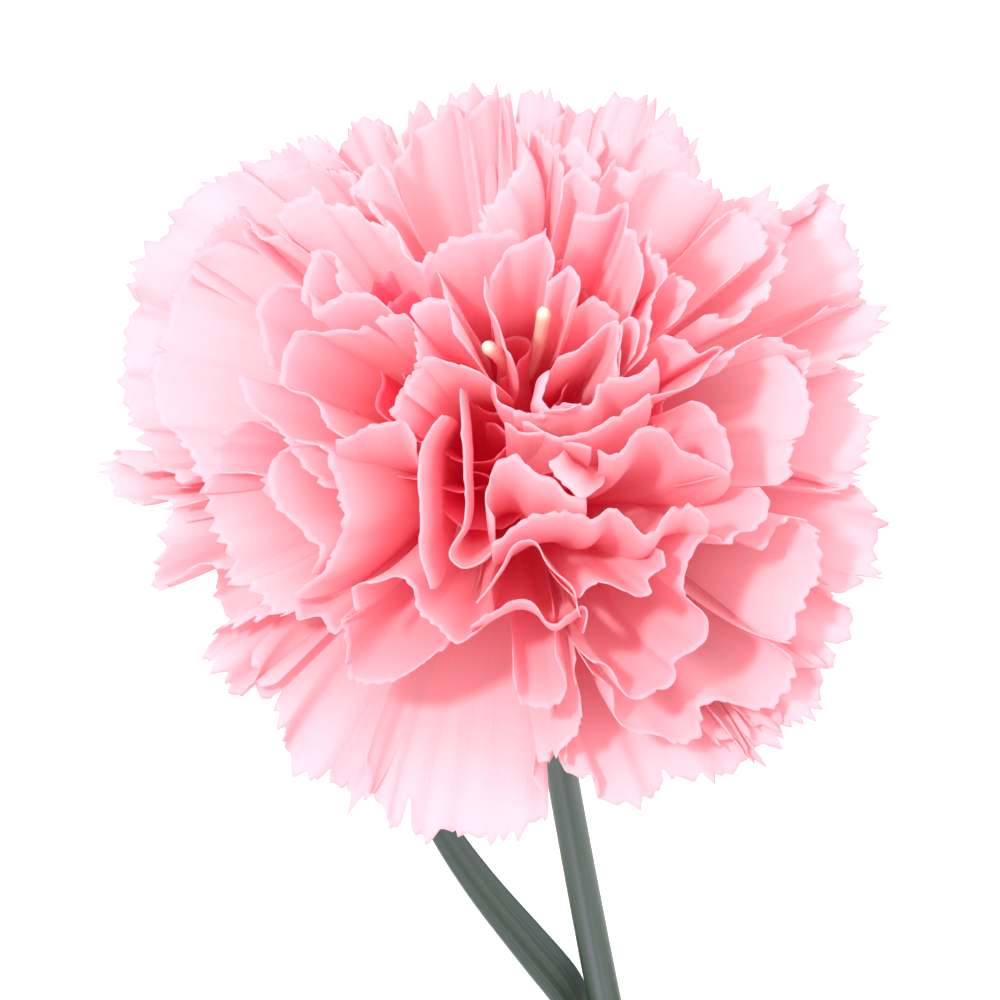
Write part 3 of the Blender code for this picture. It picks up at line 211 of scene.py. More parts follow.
LOWER = (
    (92, -10, (-2.6, 6.3, 4), (0, 5, 4), (2.6, 3.6, 4.5), (5, 3.3, 5), (8, 4.4, 5), (9.6, 3, 5),
     (11.2, 3.7, 5), (13.5, 5.7, 4.5), (15.5, 3.6, 4), (17.5, 2.9, 3.5), (19.3, 4, 3)),
    (55, 45, (14.4, 7.3, 3), (14.9, 8.8, 3), (13.5, 10, 3), (13.2, 11.2, 3), (10.5, 11, 3.5),
     (8, 10.6, 4), (6, 12, 4), (5, 11, 4)),
    (48, 55, (19.4, 5.7, 2), (17, 8.2, 2.5), (16.6, 10.6, 2.5), (18.9, 13.6, 1.5), (18.7, 16, 1.5),
     (17, 17.8, 1.5), (15.6, 18.6, 1.5), (15.6, 20, 1), (14.4, 21.4, 1), (12, 21.7, 1), (10.2, 20.6, 1.5),
     (8.6, 18.3, 2), (6.8, 17.4, 3)),
    (92, 20, (-4.2, 12.2, 4), (-2, 9.6, 5), (0.6, 6.7, 6), (1.6, 6.5, 6), (3.2, 8, 6), (5, 10.6, 5),
     (6.7, 13.6, 4)),
    (93, 5, (-4.3, 15, 3), (-3, 13.5, 4), (-0.5, 12.4, 4.5), (2, 12.9, 4.5), (4, 14.3, 4), (5.4, 13.8, 4),
     (6.6, 13.2, 4), (6.5, 14.8, 3.5)),
    (93, 75, (-0.6, 19.8, 1), (0.4, 21.6, 0), (2, 22.7, 0), (3.6, 22.9, 0), (4.6, 21.4, 0.5),
     (4, 17.5, 1.5)),
    (135, 45, (-15.8, 13.2, 3), (-15.6, 10.8, 4), (-12.5, 9.8, 4.5), (-10, 11.4, 4.5), (-9.2, 13.2, 4),
     (-7.6, 15.4, 4), (-6, 16.5, 4), (-4.2, 15, 4.5)),
    (122, 70, (-17.2, 14, 1), (-16.2, 19.6, 0), (-13, 20.2, 0), (-9.6, 19, 0.5), (-7, 16.6, 1.5)),
    (140, 70, (-22, 12.2, 1.5), (-21.8, 14, 1), (-19.6, 13.9, 1.5), (-18, 15.3, 1.5), (-17, 14.4, 2)),
)
CENTRE = (
    (180, 45, (-7.4, -6.4, 2), (-9, -4, 3), (-9.7, -0.5, 3.5), (-9.7, 2.5, 3.5), (-9.5, 5, 3.5),
     (-9.5, 8, 3.5), (-8.5, 11, 3)),
    (170, 40, (-5.7, -9, 0.5), (-5.3, -6, 1.5), (-5.1, -3, 2), (-5.2, 0, 2), (-5.3, 5, 2.5), (-6.5, 8, 3),
     (-5.4, 9.1, 3), (-3.6, 8.4, 3), (-2.6, 7.2, 2.5)),
    (320, -80, (3.4, -1.8, 5), (4.1, -0.1, 5), (5.2, 0.8, 5), (6.7, 1.9, 5), (7.7, 1.4, 4.5)),
    (330, 60, (3.4, -10.8, 2.5), (2.9, -9, 2.5), (2.7, -7.8, 2.5), (3.4, -6.9, 3), (5, -6.9, 3),
     (6.5, -7.6, 3)),
)
# Petals behind the guard petals: how many, first one, half their spread, reach and height in millimetres
BACK_COUNT, BACK_FIRST, BACK_SPREAD = 8, 12, 33
BACK_REACH, BACK_HEIGHT, BACK_FLARE = 32.0, 0.5, 104
# Petals packed in the heart, under the dome, in a spiral of golden angles, in degrees and millimetres
HEART_COUNT, HEART_START, HEART_REACH = 22, 3.0, 17.0
HEART_WIDTH, HEART_SINK = 6.5, 5.5
HEART_MOST_SPREAD = 80
HEART_FLARE = 2.5                   # degrees that a petal flares for each millimetre of its reach
GOLDEN_ANGLE = 137.5
# Layers: name, petals, root radius and height in millimetres, how much of a petal runs the way that its
# margin does, ruffle and pleat in millimetres, size of the teeth, depth of colour (partly the inner petals'
# own deeper pink, partly painted shade of the folds deep in the bloom)
LAYERS = (
    ("back", "back", 5.6, -1.5, 0.3, 0.8, 0.20, 1.0, 0.0),
    ("guard", GUARDS, 5.0, -2.0, 0.3, 0.7, 0.20, 1.0, 0.0),
    ("collar", COLLAR, 4.0, -3.0, 0.3, 0.5, 0.10, 0.6, 0.32),
    ("left", LEFT, 2.0, -4.5, 0.3, 0.35, 0.05, 0.35, 0.82),
    ("top", TOP, 2.0, -4.5, 0.3, 0.35, 0.05, 0.35, 0.5),
    ("right", RIGHT, 2.0, -4.5, 0.3, 0.35, 0.05, 0.25, 0.55),
    ("lower", LOWER, 2.5, -4.5, 0.3, 0.35, 0.05, 0.4, 0.5),
    ("centre", CENTRE, 2.0, -4.5, 0.1, 0.25, 0.05, 0.1, 0.62),
    ("heart", "heart", 1.5, -4.5, 0.3, 0.6, 0.10, 0.3, 1.0),
)
OUTER_LAYERS = ("back", "guard", "collar")

# Fine form of the petals, with lengths in millimetres and pairs as the least and the most
SEED = 5
FACE_ROUNDS = 8                     # rounds that settle how near a place on the dome is
ROUND_POINTS, ROUND_DROP = 7, 0.12  # points of a round margin, and how far its ends draw in
PETAL_GRID = (84, 20)               # faces across a petal and along it
ROW_CROWDING = 1.25                 # how closely its rows crowd toward the margin
PETAL_REST = 0.30                   # height at which a layer's first petal rests on the table
PETAL_REST_STEP = 0.03              # and how much higher each next one does
FORM_SHARE = (0.7, 1.2)             # share of its layer's ruffle and pleat that a petal has
# Ruffles and pleats: their length, how far and how often they wander, and how late along a petal they rise
RUFFLE_LENGTH, RUFFLE_WANDER, RUFFLE_EASE = (6, 9), (1.2, 2.3), 5
PLEAT_LENGTH, PLEAT_WANDER, PLEAT_EASE = (3.2, 5.5), (2, 3), 4
# Teeth: how far apart, how unevenly and how few, their height and what tall ones add, and how rare those are
TOOTH_SPACING, TOOTH_JITTER, TOOTH_LEAST_COUNT = (1.1, 1.8), 0.42, 4
TOOTH_LEAST_HEIGHT, TOOTH_MORE_HEIGHT, TOOTH_RARITY = 0.25, 1.6, 1.5
MARGIN_END = 1.02                   # the last valley between teeth, just past the end of the margin
FRINGE, FRINGE_EASE = 0.14, 1.3     # share of a petal's length that stretches with its teeth
# Slits: how many at most, how far from the middle, half their width and their depth
SLITS_MOST, SLIT_PLACE, SLIT_HALF_WIDTH, SLIT_DEPTH = 2, 0.8, 0.5, (0.8, 2.6)

# Pistil: the paths of its styles, as in the solids, and their radii at places along them, in millimetres
STYLES = (
    ((-1.5, -0.5, 16.4), (-1.8, -0.6, 18.4), (-3.2, -0.8, 21), (-4.4, -0.9, 26), (-5.3, -1.0, 31.5)),
    ((-1.5, -0.5, 16.4), (-1.4, -0.4, 18.4), (-1.0, 0.2, 21.5), (-0.4, 1.2, 27), (0.8, 2.6, 32.5)),
)
STYLE_PLACES = (0, 0.3, 0.85, 0.95, 0.99, 1)
STYLE_RADII = (0.75, 0.72, 0.66, 0.72, 0.55, 0.2)
STYLE_STEPS = 40
STYLE_GRID = (24, 60)

# Calyx, as in the solids: (height, radius) from its rim to its foot, in millimetres
CALYX = ((-5.6, 7.25), (-8.5, 7.2), (-14.0, 7.1), (-22.0, 6.0), (-27.0, 4.2), (-28.4, 2.9))
CALYX_TEETH = 5
TOOTH_LENGTH = 4.6
# Its skin lies a little inside the solid's, and closes in at the foot
CALYX_FOOT = ((-28.4, 0.4), (-28.4, 2.2))
CALYX_INSET = 0.18
CALYX_SKIN = 0.4 * MM
CALYX_GRID = (160, 60)
CALYX_RIBS, RIB_HEIGHT, RIB_START, RIB_GROWTH = 35, 0.05, 0.12, 6
TOOTH_START = 0.8                   # share of the calyx's length below its teeth
TOOTH_BEND, TOOTH_BEND_START = 0.3, 0.85
# Bracts at its foot, in millimetres
BRACTS = 4
BRACT_FOOT = -28.2
BRACT_LENGTH = 10.5
BRACT_GAP = 0.25
BRACT_PLACES = (0, 0.35, 0.7, 0.9, 1)
BRACT_HALF_WIDTHS = (3.1, 3.5, 2.4, 0.8, 0.15)
BRACT_LEAST_RADIUS = 3.4
BRACT_SKIN = 0.35 * MM
BRACT_GRID = (24, 24)
BRACT_RIB_SHARE = 0.3               # how much of the calyx's ribs goes across a bract

# Stem and leaves, as in the solids
STEM_START = 28.8 * MM
STEM_LENGTH = 172 * MM
STEM_BEND_LENGTH = 99 * MM
STEM_SWAY = 5 * MM
STEM_TOP_RADIUS = 1.6 * MM
STEM_END_RADIUS = 2.25 * MM
JOINTS = (101 * MM, 160 * MM)
JOINT_SWELLING = 0.9 * MM
JOINT_SPREAD = 2.4 * MM
COLLAR_SWELLING = 0.5 * MM
COLLAR_SPREAD = 4 * MM
STEM_GRID = (40, 400)
LEAF_THICKNESS = 0.6 * MM
LEAF_LEAST_WIDTH = 0.25 * MM
LEAF_FOLD = 3.2                     # radius of the fold across a leaf, in half widths
LEAF_TAPER = (1.15, 0.62)           # how its width falls to the tip
LEAF_FOOT = (0.35, 6)               # and grows from its foot
LEAF_STEPS = 160
LEAF_GRID = (20, 120)
SHEATH_GAP = 0.32 * MM
SHEATH_LENGTH = 5.5 * MM            # the foot of a leaf that lies along the stem before it opens
SHEATH_REACH = math.radians(82)     # and how far round the stem it goes to each side
SHEATH_END = (4 * MM, 13 * MM)      # where it turns into the blade
HUG_LENGTH = 8 * MM                 # how far it follows the swelling of the joint
TWIST_START = 9 * MM
TWIST_LENGTH = 22 * MM
# Each leaf: its joint, its way round the stem in degrees, its length and half its width, its twist in
# degrees, and how many degrees it leans away from the stem at equal steps to its tip
LEAVES = (
    ("leaf_upper_left", 0, 4, 84 * MM, 2.7 * MM, 60, (0, 4, 20, 20, 16, 10, 5, 2)),
    ("leaf_upper_right", 0, 184, 62 * MM, 2.3 * MM, -35, (0, 75, 100, 106, 110, 116, 124, 132, 140)),
    ("leaf_lower_top", 1, 50, 74 * MM, 2.3 * MM, 25, (0, 14, 34, 48, 60, 85)),
    ("leaf_lower_side", 1, 227, 66 * MM, 2.3 * MM, -20, (0, 14, 30, 36, 34, 30)),
)

# Materials. A fade is where the next colour of a petal comes in, from 0 at the claw to 1 at the margin,
# with the share of it that does. The deep pink toward the claw is partly the petals' own colour and partly
# painted shade of the folds deep in the bloom
INNER_FADES = ((0.18, 0.48, 1.0, "middle"), (0.40, 0.66, 1.0, "pale"), (0.58, 0.95, 0.8, "palest"))
OUTER_FADES = ((0.08, 0.38, 1.0, "pale"), (0.36, 0.72, 1.0, "palest"))
VEIN_SHIFT, MOTTLE_SHIFT = 0.16, 0.22       # how far veins and mottling move the fades
DEPTH_SHIFT, MIDDLE_DEPTH = 0.5, 0.6        # how far the depth of colour does, and the depth that doesn't
INNER_DEPTH = (0.1, 0.6)                    # depths of colour at which the inner petals' colours come in
# The heart's petals, deep under the dome, go deep pink all over: partly their own colour, partly painted
# shade of the hollow that they fill
DEEPEST = (0.8, 1.0, 0.7)                   # depths at which a petal is deep all over, and the share
EDGE_FADE = (0.93, 1.0, 0.35)               # where the thin edge of a petal lies, and its share
FIBRE_SHARE, FIBRE_BASE = 0.20, 0.05        # share of the middle pink in the fibres and between them
# Strength of a faint glow that every petal gives off: painted light, standing in for light held in the folds
# between petals
PAINTED_GLOW_STRENGTH = 0.06
THROUGH_SHARE = 0.45                        # share of a petal's light that shines through it
STYLE_FADE, STYLE_GRAIN = (0.3, 1.0), 0.4
# Patterns on a piece: repeats across it and along it, detail and roughness
VEINS = (26.0, 1.6, 3.0, 0.6)
FIBRES = (90.0, 3.0, 2.0, 0.6)
MOTTLE = (3.0, 3.0, 2.0, 0.5)
WAX = (1.6, 0.5, 3.0, 0.5)
RIB_LINES = (2.0, 2.0, 0.5)                 # these come after the repeats across
WAX_APART = 4.0                             # keeps the wax from lying as the ribs do
VEIN_WIDTH = 30                             # millimetres of petal over which the veins repeat as often
# Green skins: repeats of the ribs across, strength of the relief, share of wax
CALYX_LOOK = (60.0, 0.6, 0.3)
STEM_LOOK = (9.0, 0.35, 0.8)
LEAF_LOOK = (9.0, 0.4, 0.22)
DARK_LINES, WAX_PATCHES, WAX_SPECKS, SPECK_SHARE = (0.35, 0.7), (0.38, 0.62), (0.6, 0.8), 0.25
WAX_ROUGHNESS, GREEN_ROUGHNESS = 0.25, 0.36
# Numbers that keep the grain of one piece apart from that of the next
PETAL_NUMBER, BRACT_NUMBER, LEAF_NUMBER = 3.7, 5.0, 9.0

# The view: the camera's slant from the flower's axis, its roll, distance, width and aim
VIEW_OFF_AXIS = math.radians(28)
VIEW_ROLL = math.radians(-9)
VIEW_DISTANCE = 0.6
VIEW_WIDTH = 0.100
VIEW_LEFT, VIEW_DOWN = 1.5 * MM, 2.0 * MM
SENSOR_WIDTH = 36
CLIP = (0.01, 20)
# Lamps: the way to them as (right, up, back) of the camera, their distance and size in metres
KEY_LAMP = ((-0.5, 0.22, 1.0), 0.8, 0.08)
SIDE_LAMP = ((1.0, 0.3, 0.6), 0.8, 0.5)
BOUNCES = 14
FLOOR_HALF_WIDTH = 3

WELD = 1e-7
TINY = 1e-12
SOFT_LIMIT = 40                     # softnesses above its rest at which a point is left where it is


# ---------------------------------------------------------------- form

def smooth(x):
    """0 below 0, 1 above 1, smooth between."""
    x = np.clip(x, 0, 1)
    return x * x * (3 - 2 * x)


def summed(steps):
    """Where steps laid end to end reach, from 0 on."""
    return np.concatenate([[0], np.cumsum(steps)])


def shares(path):
    """How far along a path each of its points lies, from 0 to 1."""
    gaps = np.linalg.norm(np.diff(path, axis=0), axis=1)
    return summed(gaps) / gaps.sum()


def unit(vectors):
    return vectors / np.linalg.norm(vectors, axis=1)[:, None]


def cubic(start, end, leaving, arriving, w):
    """A smooth line from start to end that leaves and arrives by these slopes; w runs from 0 to 1."""
    return (start * (2 * w**3 - 3 * w**2 + 1) + leaving * (w**3 - 2 * w**2 + w)
            + end * (3 * w**2 - 2 * w**3) + arriving * (w**3 - w**2))


def through(knots, u):
    """Points of a smooth line through the knots; u runs from 0 to 1 along it."""
    at = shares(knots)
    u = np.clip(u, 0, 1)
    k = np.clip(np.searchsorted(at, u, side="right") - 1, 0, len(knots) - 2)
    slope = np.gradient(knots, at, axis=0)
    h = (at[k + 1] - at[k])[:, None]
    w = (u - at[k])[:, None] / h
    return cubic(knots[k], knots[k + 1], slope[k] * h, slope[k + 1] * h, w)


def dome_depth(across, below, lift):
    """How near the dome comes to the eye at a place on its face, in millimetres from the mouth."""
    square = DOME_FALL * math.sin(FACE_TILT) ** 2
    slope = math.cos(FACE_TILT) + DOME_FALL * below * math.sin(2 * FACE_TILT)
    rest = DOME_FALL * (across**2 + (below * math.cos(FACE_TILT)) ** 2)
    rest = rest - below * math.sin(FACE_TILT) - DOME_TOP - lift
    return (math.sqrt(max(slope**2 - 4 * square * rest, 0)) - slope) / (2 * square)


def margin_points(margin):
    """A margin in the flower's upright frame, from where its points show on the face of the bloom."""
    right, down, lift = np.array(margin, float).T
    across = right * math.cos(FACE_TURN) - down * math.sin(FACE_TURN)
    below = right * math.sin(FACE_TURN) + down * math.cos(FACE_TURN)
    near = np.zeros(len(across))
    for _ in range(FACE_ROUNDS):
        x, b = across * (1 - near / FACE_DISTANCE), below * (1 - near / FACE_DISTANCE)
        near = np.array([dome_depth(*place) for place in zip(x, b, lift)])
        near = np.maximum(near, (RIM_HEIGHT + b * math.sin(FACE_TILT)) / math.cos(FACE_TILT))
        over_table = TABLE_DEPTH - b * math.cos(FACE_TILT + AXIS_RISE)
        near = np.maximum(near, over_table / math.sin(FACE_TILT + AXIS_RISE))
    lean = np.stack([x - x.mean(), b - b.mean()], -1)
    slope = np.linalg.solve(lean.T @ lean + FLATNESS * len(x) * np.eye(2), lean.T @ (near - near.mean()))
    near = LOBE_DEPTH * near + (1 - LOBE_DEPTH) * (near.mean() + lean @ slope)
    y = b * math.cos(FACE_TILT) + near * math.sin(FACE_TILT)
    z = near * math.cos(FACE_TILT) - b * math.sin(FACE_TILT)
    return np.stack([-x, y, z], -1) * MM


def round_margin(middle, spread, reach, height):
    """A margin on a circle round the flower's axis; angles in degrees, sizes in millimetres."""
    turn = np.radians(middle + np.linspace(-spread, spread, ROUND_POINTS)) + FACE_TURN
    edge = reach * (1 - ROUND_DROP * np.linspace(-1, 1, ROUND_POINTS) ** 2)
    return np.stack([-edge * np.cos(turn), edge * np.sin(turn), np.full(ROUND_POINTS, height)], -1) * MM


def back_petals():
    """The last petals of the bloom, against the calyx."""
    step = 360 / BACK_COUNT
    leans = [BACK_FIRST + step * j for j in range(BACK_COUNT)]
    return [(lean, BACK_FLARE, round_margin(lean, BACK_SPREAD, BACK_REACH, BACK_HEIGHT)) for lean in leans]


def heart_petals():
    """Small petals that fill the heart of the bloom below the others."""
    petals = []
    for j in range(HEART_COUNT):
        reach = HEART_START + (HEART_REACH - HEART_START) * math.sqrt(j / HEART_COUNT)
        spread = min(math.degrees(HEART_WIDTH / reach), HEART_MOST_SPREAD)
        height = DOME_TOP - DOME_FALL * reach**2 - HEART_SINK
        lean = GOLDEN_ANGLE * j
        petals.append((lean, HEART_FLARE * reach, round_margin(lean, spread, reach, height)))
    return petals


def petal_traits(rng, leaning, flare, margin, layer):
    """A petal's form, and what it draws at random: the ruffles, pleats and teeth of its margin."""
    name, petals, root_radius, root_height, hold, ruffle, pleat, teeth, depth = layer
    p = SimpleNamespace(depth=depth, hold=hold, margin=margin)
    turn = math.radians(leaning) + FACE_TURN
    p.outward = np.array([-math.cos(turn), math.sin(turn), 0])
    p.flare = math.radians(flare)
    p.root = p.outward * root_radius * MM + np.array([0, 0, root_height * MM])
    p.across = np.array([p.outward[1], -p.outward[0], 0])
    p.across = p.across * math.copysign(1, (p.margin[-1] - p.margin[0]) @ p.across)
    p.span = np.linalg.norm(np.diff(p.margin, axis=0), axis=1).sum()
    p.ruffle = ruffle * MM * rng.uniform(*FORM_SHARE)
    p.pleat = pleat * MM * rng.uniform(*FORM_SHARE)
    p.phase = rng.uniform(0, 2 * math.pi, 4)
    p.ruffle_length = rng.uniform(*RUFFLE_LENGTH) * MM
    p.pleat_length = rng.uniform(*PLEAT_LENGTH) * MM
    count = max(TOOTH_LEAST_COUNT, int(round(p.span / MM / rng.uniform(*TOOTH_SPACING))))
    p.tooth_at = (np.arange(count) + 0.5 + rng.uniform(-TOOTH_JITTER, TOOTH_JITTER, count)) / count * 2 - 1
    tall = rng.uniform(0, 1, count) ** TOOTH_RARITY
    p.tooth_height = (TOOTH_LEAST_HEIGHT + TOOTH_MORE_HEIGHT * tall) * MM * teeth
    p.slits = []
    for _ in range(int(rng.integers(0, SLITS_MOST + 1))):
        place = rng.uniform(-SLIT_PLACE, SLIT_PLACE)
        p.slits.append((place, SLIT_HALF_WIDTH * MM / p.span * 2, rng.uniform(*SLIT_DEPTH) * MM * teeth))
    return p


def layer_petals():
    """The petals of each layer, from the outside in."""
    rng = np.random.default_rng(SEED)
    made = {"back": back_petals, "heart": heart_petals}
    layers = []
    for layer in LAYERS:
        if layer[0] in made:
            petals = made[layer[0]]()
        else:
            petals = [(leaning, flare, margin_points(margin)) for leaning, flare, *margin in layer[1]]
        layers.append([petal_traits(rng, *petal, layer) for petal in petals])
    return layers


def margin_line(p, t, tooth_scale):
    """Length added at the margin: a row of pointed teeth, cut by a few slits."""
    middle = (p.tooth_at[:-1] + p.tooth_at[1:]) / 2
    valley = np.concatenate([[-MARGIN_END], middle, [MARGIN_END]])
    knots = np.empty(len(valley) + len(p.tooth_at))
    knots[0::2], knots[1::2] = valley, p.tooth_at
    heights = np.zeros(len(knots))
    heights[1::2] = p.tooth_height * tooth_scale
    line = np.interp(t, knots, heights)
    for at, width, depth in p.slits:
        line = line - depth * np.clip(1 - np.abs(t - at) / width, 0, 1)
    return line


def waves(p, t, length, phase, wander):
    """Waves along a petal's margin, which crowd and spread a little on their way."""
    shift, turns = wander
    at = p.span * (t + 1) / 2
    return np.sin(2 * math.pi * at / length + phase[0] + shift * np.sin(turns * t + phase[1]))


def blade_base(p, t, s):
    """The petal without its ruffles: a sheet from the claw to the margin, and the way that it runs there."""
    edge = through(p.margin, (t + 1) / 2)
    spread = edge * np.array([1, 1, 0])
    spread = spread / np.maximum(np.linalg.norm(spread, axis=1), 1 * MM)[:, None]
    toward = unit((1 - SPREADING) * p.outward + SPREADING * spread)
    up = np.array([0, 0, 1])
    run = toward * math.sin(p.flare) + up * math.cos(p.flare)
    root = p.root + (t * CLAW_HALF_WIDTH)[:, None] * p.across
    reach = np.linalg.norm(edge - root, axis=1)[:, None]
    first = root + CLAW_REACH * reach * (CLAW_RISE * up + CLAW_LEAN * p.outward)
    second = edge - p.hold * reach * run
    s = s[:, None]
    sheet = root * (1 - s)**3 + 3 * first * s * (1 - s)**2 + 3 * second * s**2 * (1 - s) + edge * s**3
    return sheet, run


def petal_points(p, t, s, margin):
    """Points of a petal: t runs across it from -1 to 1, s from its claw to its margin."""
    step = 0.01
    sheet, run = blade_base(p, t, s)
    aside = blade_base(p, t + step, s)[0] - blade_base(p, t - step, s)[0]
    along = blade_base(p, t, s + step)[0] - blade_base(p, t, s - step)[0]
    normal = np.cross(aside, along)
    normal = normal / np.maximum(np.linalg.norm(normal, axis=1), TINY)[:, None]
    ruffle = waves(p, t, p.ruffle_length, p.phase[:2], RUFFLE_WANDER)
    pleat = waves(p, t, p.pleat_length, p.phase[2:], PLEAT_WANDER)
    lift = p.ruffle * s**RUFFLE_EASE * ruffle + p.pleat * s**PLEAT_EASE * pleat
    tooth = margin * np.clip((s - (1 - FRINGE)) / FRINGE, 0, 1) ** FRINGE_EASE
    return sheet + lift[:, None] * normal + tooth[:, None] * run


def laid_down(points):
    """From the flower's upright frame to the table."""
    c = math.cos(AXIS_RISE)
    s = math.sin(AXIS_RISE)
    x = points[..., 0]
    y = points[..., 1] * s - points[..., 2] * c
    z = MOUTH_HEIGHT + points[..., 1] * c + points[..., 2] * s
    return np.stack([x, y, z], -1)


def pressed(points, rest, softness):
    """Points kept above the height at which the piece rests, bending smoothly onto it."""
    over = np.clip((points[..., 2] - rest) / softness, -SOFT_LIMIT, SOFT_LIMIT)
    low = rest + softness * np.log1p(np.exp(over))
    z = np.where(over >= SOFT_LIMIT, points[..., 2], low)
    return np.concatenate([points[..., :2], z[..., None]], -1)


def stem_line(count=240):
    """Distance, position (x, y, z) and slope of the stem's middle line from the calyx to the cut."""
    along = np.linspace(0, STEM_LENGTH, count)
    x = -STEM_SWAY * (along / STEM_LENGTH) ** 2
    slope = AXIS_RISE * np.clip(1 - along / STEM_BEND_LENGTH, 0, 1)
    step = along[1] - along[0]
    mid = (slope[1:] + slope[:-1]) / 2
    y = STEM_START * math.cos(AXIS_RISE) + summed(np.cos(mid) * step)
    z = MOUTH_HEIGHT - STEM_START * math.sin(AXIS_RISE) - summed(np.sin(mid) * step)
    return along, x, y, z, slope


def stem_radius(along):
    radius = STEM_TOP_RADIUS + (STEM_END_RADIUS - STEM_TOP_RADIUS) * along / STEM_LENGTH
    radius = radius + COLLAR_SWELLING * np.exp(-(along / COLLAR_SPREAD) ** 2)
    for joint in JOINTS:
        radius = radius + JOINT_SWELLING * np.exp(-((along - joint) / JOINT_SPREAD) ** 2)
    return radius


def stem_at(distance):
    """A place on the stem's middle line, the way to the flower there, and the way up."""
    along, *values = stem_line()
    x, y, z, slope = (float(np.interp(distance, along, value)) for value in values)
    aside = 2 * STEM_SWAY * distance / STEM_LENGTH**2
    ahead = Vector((aside, -math.cos(slope), math.sin(slope))).normalized()
    return Vector((x, y, z)), ahead, Vector((0, math.sin(slope), math.cos(slope)))


def leaf_points(joint, azimuth, length, half, twist, angles, v, t):
    """Points of a leaf: v runs from its foot round the stem to its tip, t across it from -1 to 1."""
    start, ahead, lift = stem_at(JOINTS[joint])
    turn = math.radians(azimuth)
    side = lift.cross(ahead) * math.cos(turn) + lift * math.sin(turn)
    across = ahead.cross(side)
    fine = np.linspace(0, 1, LEAF_STEPS + 1)
    opening = np.radians(np.interp(fine, np.linspace(SHEATH_LENGTH / length, 1, len(angles)), angles))
    step = length / LEAF_STEPS
    mid = (opening[1:] + opening[:-1]) / 2
    f = np.interp(v, fine, summed(np.cos(mid) * step))
    o = np.interp(v, fine, summed(np.sin(mid) * step))
    a = np.interp(v, fine, opening)
    hug = stem_radius(JOINTS[joint] - np.minimum(v * length, HUG_LENGTH)) + SHEATH_GAP + 0.5 * LEAF_THICKNESS
    part = smooth((v * length - SHEATH_END[0]) / (SHEATH_END[1] - SHEATH_END[0]))
    bend = hug + (LEAF_FOLD * half - hug) * part
    reach = SHEATH_REACH * (1 - part)
    taper = np.minimum(1, LEAF_TAPER[0] * (1 - v) ** LEAF_TAPER[1])
    blade = half * taper * smooth(LEAF_FOOT[0] + v * LEAF_FOOT[1])
    blade = np.maximum(blade, LEAF_LEAST_WIDTH)
    theta = t * (reach + (blade / bend) * part)
    dip = -bend * (1 - np.cos(theta))
    aside = bend * np.sin(theta)
    swing = math.radians(twist) * smooth((v * length - TWIST_START) / TWIST_LENGTH)
    aside, dip = aside * np.cos(swing) - dip * np.sin(swing), aside * np.sin(swing) + dip * np.cos(swing)
    ahead, side, across = (np.array(vector) for vector in (ahead, side, across))
    forward, outward = f - dip * np.sin(a), o + hug + dip * np.cos(a)
    return np.array(start) + forward[:, None] * ahead + outward[:, None] * side + aside[:, None] * across


def flower_origin():
    """Where the flower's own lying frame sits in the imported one, from the stem's solid."""
    low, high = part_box("stem")
    along, x, y, z, slope = stem_line()
    radius = stem_radius(along)
    return np.array([low[0] - np.min(x - radius), high[1] - y[-1], low[2] - np.min(z - radius)])


ORIGIN = flower_origin()


# ---------------------------------------------------------------- meshes

def new_object(name, mesh):
    obj = bpy.data.objects.new(name, mesh)
    bpy.context.scene.collection.objects.link(obj)
    return obj


def mesh_points(mesh):
    values = np.empty(len(mesh.vertices) * 3)
    mesh.vertices.foreach_get("co", values)
    return values.reshape(-1, 3)


def grids(name, count, across, along):
    """Flat sheets in one mesh, one after another, and the place of a sheet's points across and along it."""
    sheet = bmesh.new()
    bmesh.ops.create_grid(sheet, x_segments=across, y_segments=along, size=1)
    single = bpy.data.meshes.new(name)
    sheet.to_mesh(single)
    sheet.free()
    several = bmesh.new()
    for _ in range(count):
        several.from_mesh(single)
    mesh = bpy.data.meshes.new(name)
    several.to_mesh(mesh)
    several.free()
    flat = mesh_points(single)
    bpy.data.meshes.remove(single)
    return mesh, flat[:, 0], (flat[:, 1] + 1) / 2


def set_points(mesh, points):
    mesh.vertices.foreach_set("co", (points + ORIGIN).ravel())
    mesh.shade_smooth()
    mesh.update()


def set_attribute(mesh, name, kind, values):
    layer = mesh.attributes.new(name, kind, "POINT")
    values = np.asarray(values, np.float32).ravel()
    layer.data.foreach_set("vector" if kind == "FLOAT_VECTOR" else "value", values)


def blade_values(across, along, number):
    """What the materials read: the place across and along a piece, and the number of the piece."""
    return np.stack([across, along, np.full(len(across), number)], -1)


def set_blade(mesh, values):
    set_attribute(mesh, "blade", "FLOAT_VECTOR", values)


def rolled(name, mesh, points, t, v, capped):
    """A grid rolled up and welded along its seam, and closed at its ends where it is capped."""
    mesh.vertices.foreach_set("co", (points + ORIGIN).ravel())
    set_blade(mesh, blade_values(t, v, 0.0))
    body = bmesh.new()
    body.from_mesh(mesh)
    bmesh.ops.remove_doubles(body, verts=body.verts[:], dist=WELD)
    if capped:
        bmesh.ops.holes_fill(body, edges=[edge for edge in body.edges if edge.is_boundary], sides=0)
    bmesh.ops.recalc_face_normals(body, faces=body.faces[:])
    body.to_mesh(mesh)
    body.free()
    mesh.shade_smooth()
    return new_object(name, mesh)


def tube_points(path, radii, v, t):
    """Points of a round tube along a path: v runs along it, t round it, both from 0 to 1."""
    path = np.asarray(path, float)
    at = shares(path)
    centre = np.stack([np.interp(v, at, path[:, i]) for i in range(3)], -1)
    ahead = np.gradient(path, axis=0)
    ahead = unit(np.stack([np.interp(v, at, ahead[:, i]) for i in range(3)], -1))
    side = unit(np.cross(ahead, np.array([1.0, 0.0, 0.0])))
    other = np.cross(side, ahead)
    radius = np.interp(v, at, radii)
    turn = 2 * math.pi * t
    return centre + radius[:, None] * (np.cos(turn)[:, None] * side + np.sin(turn)[:, None] * other)


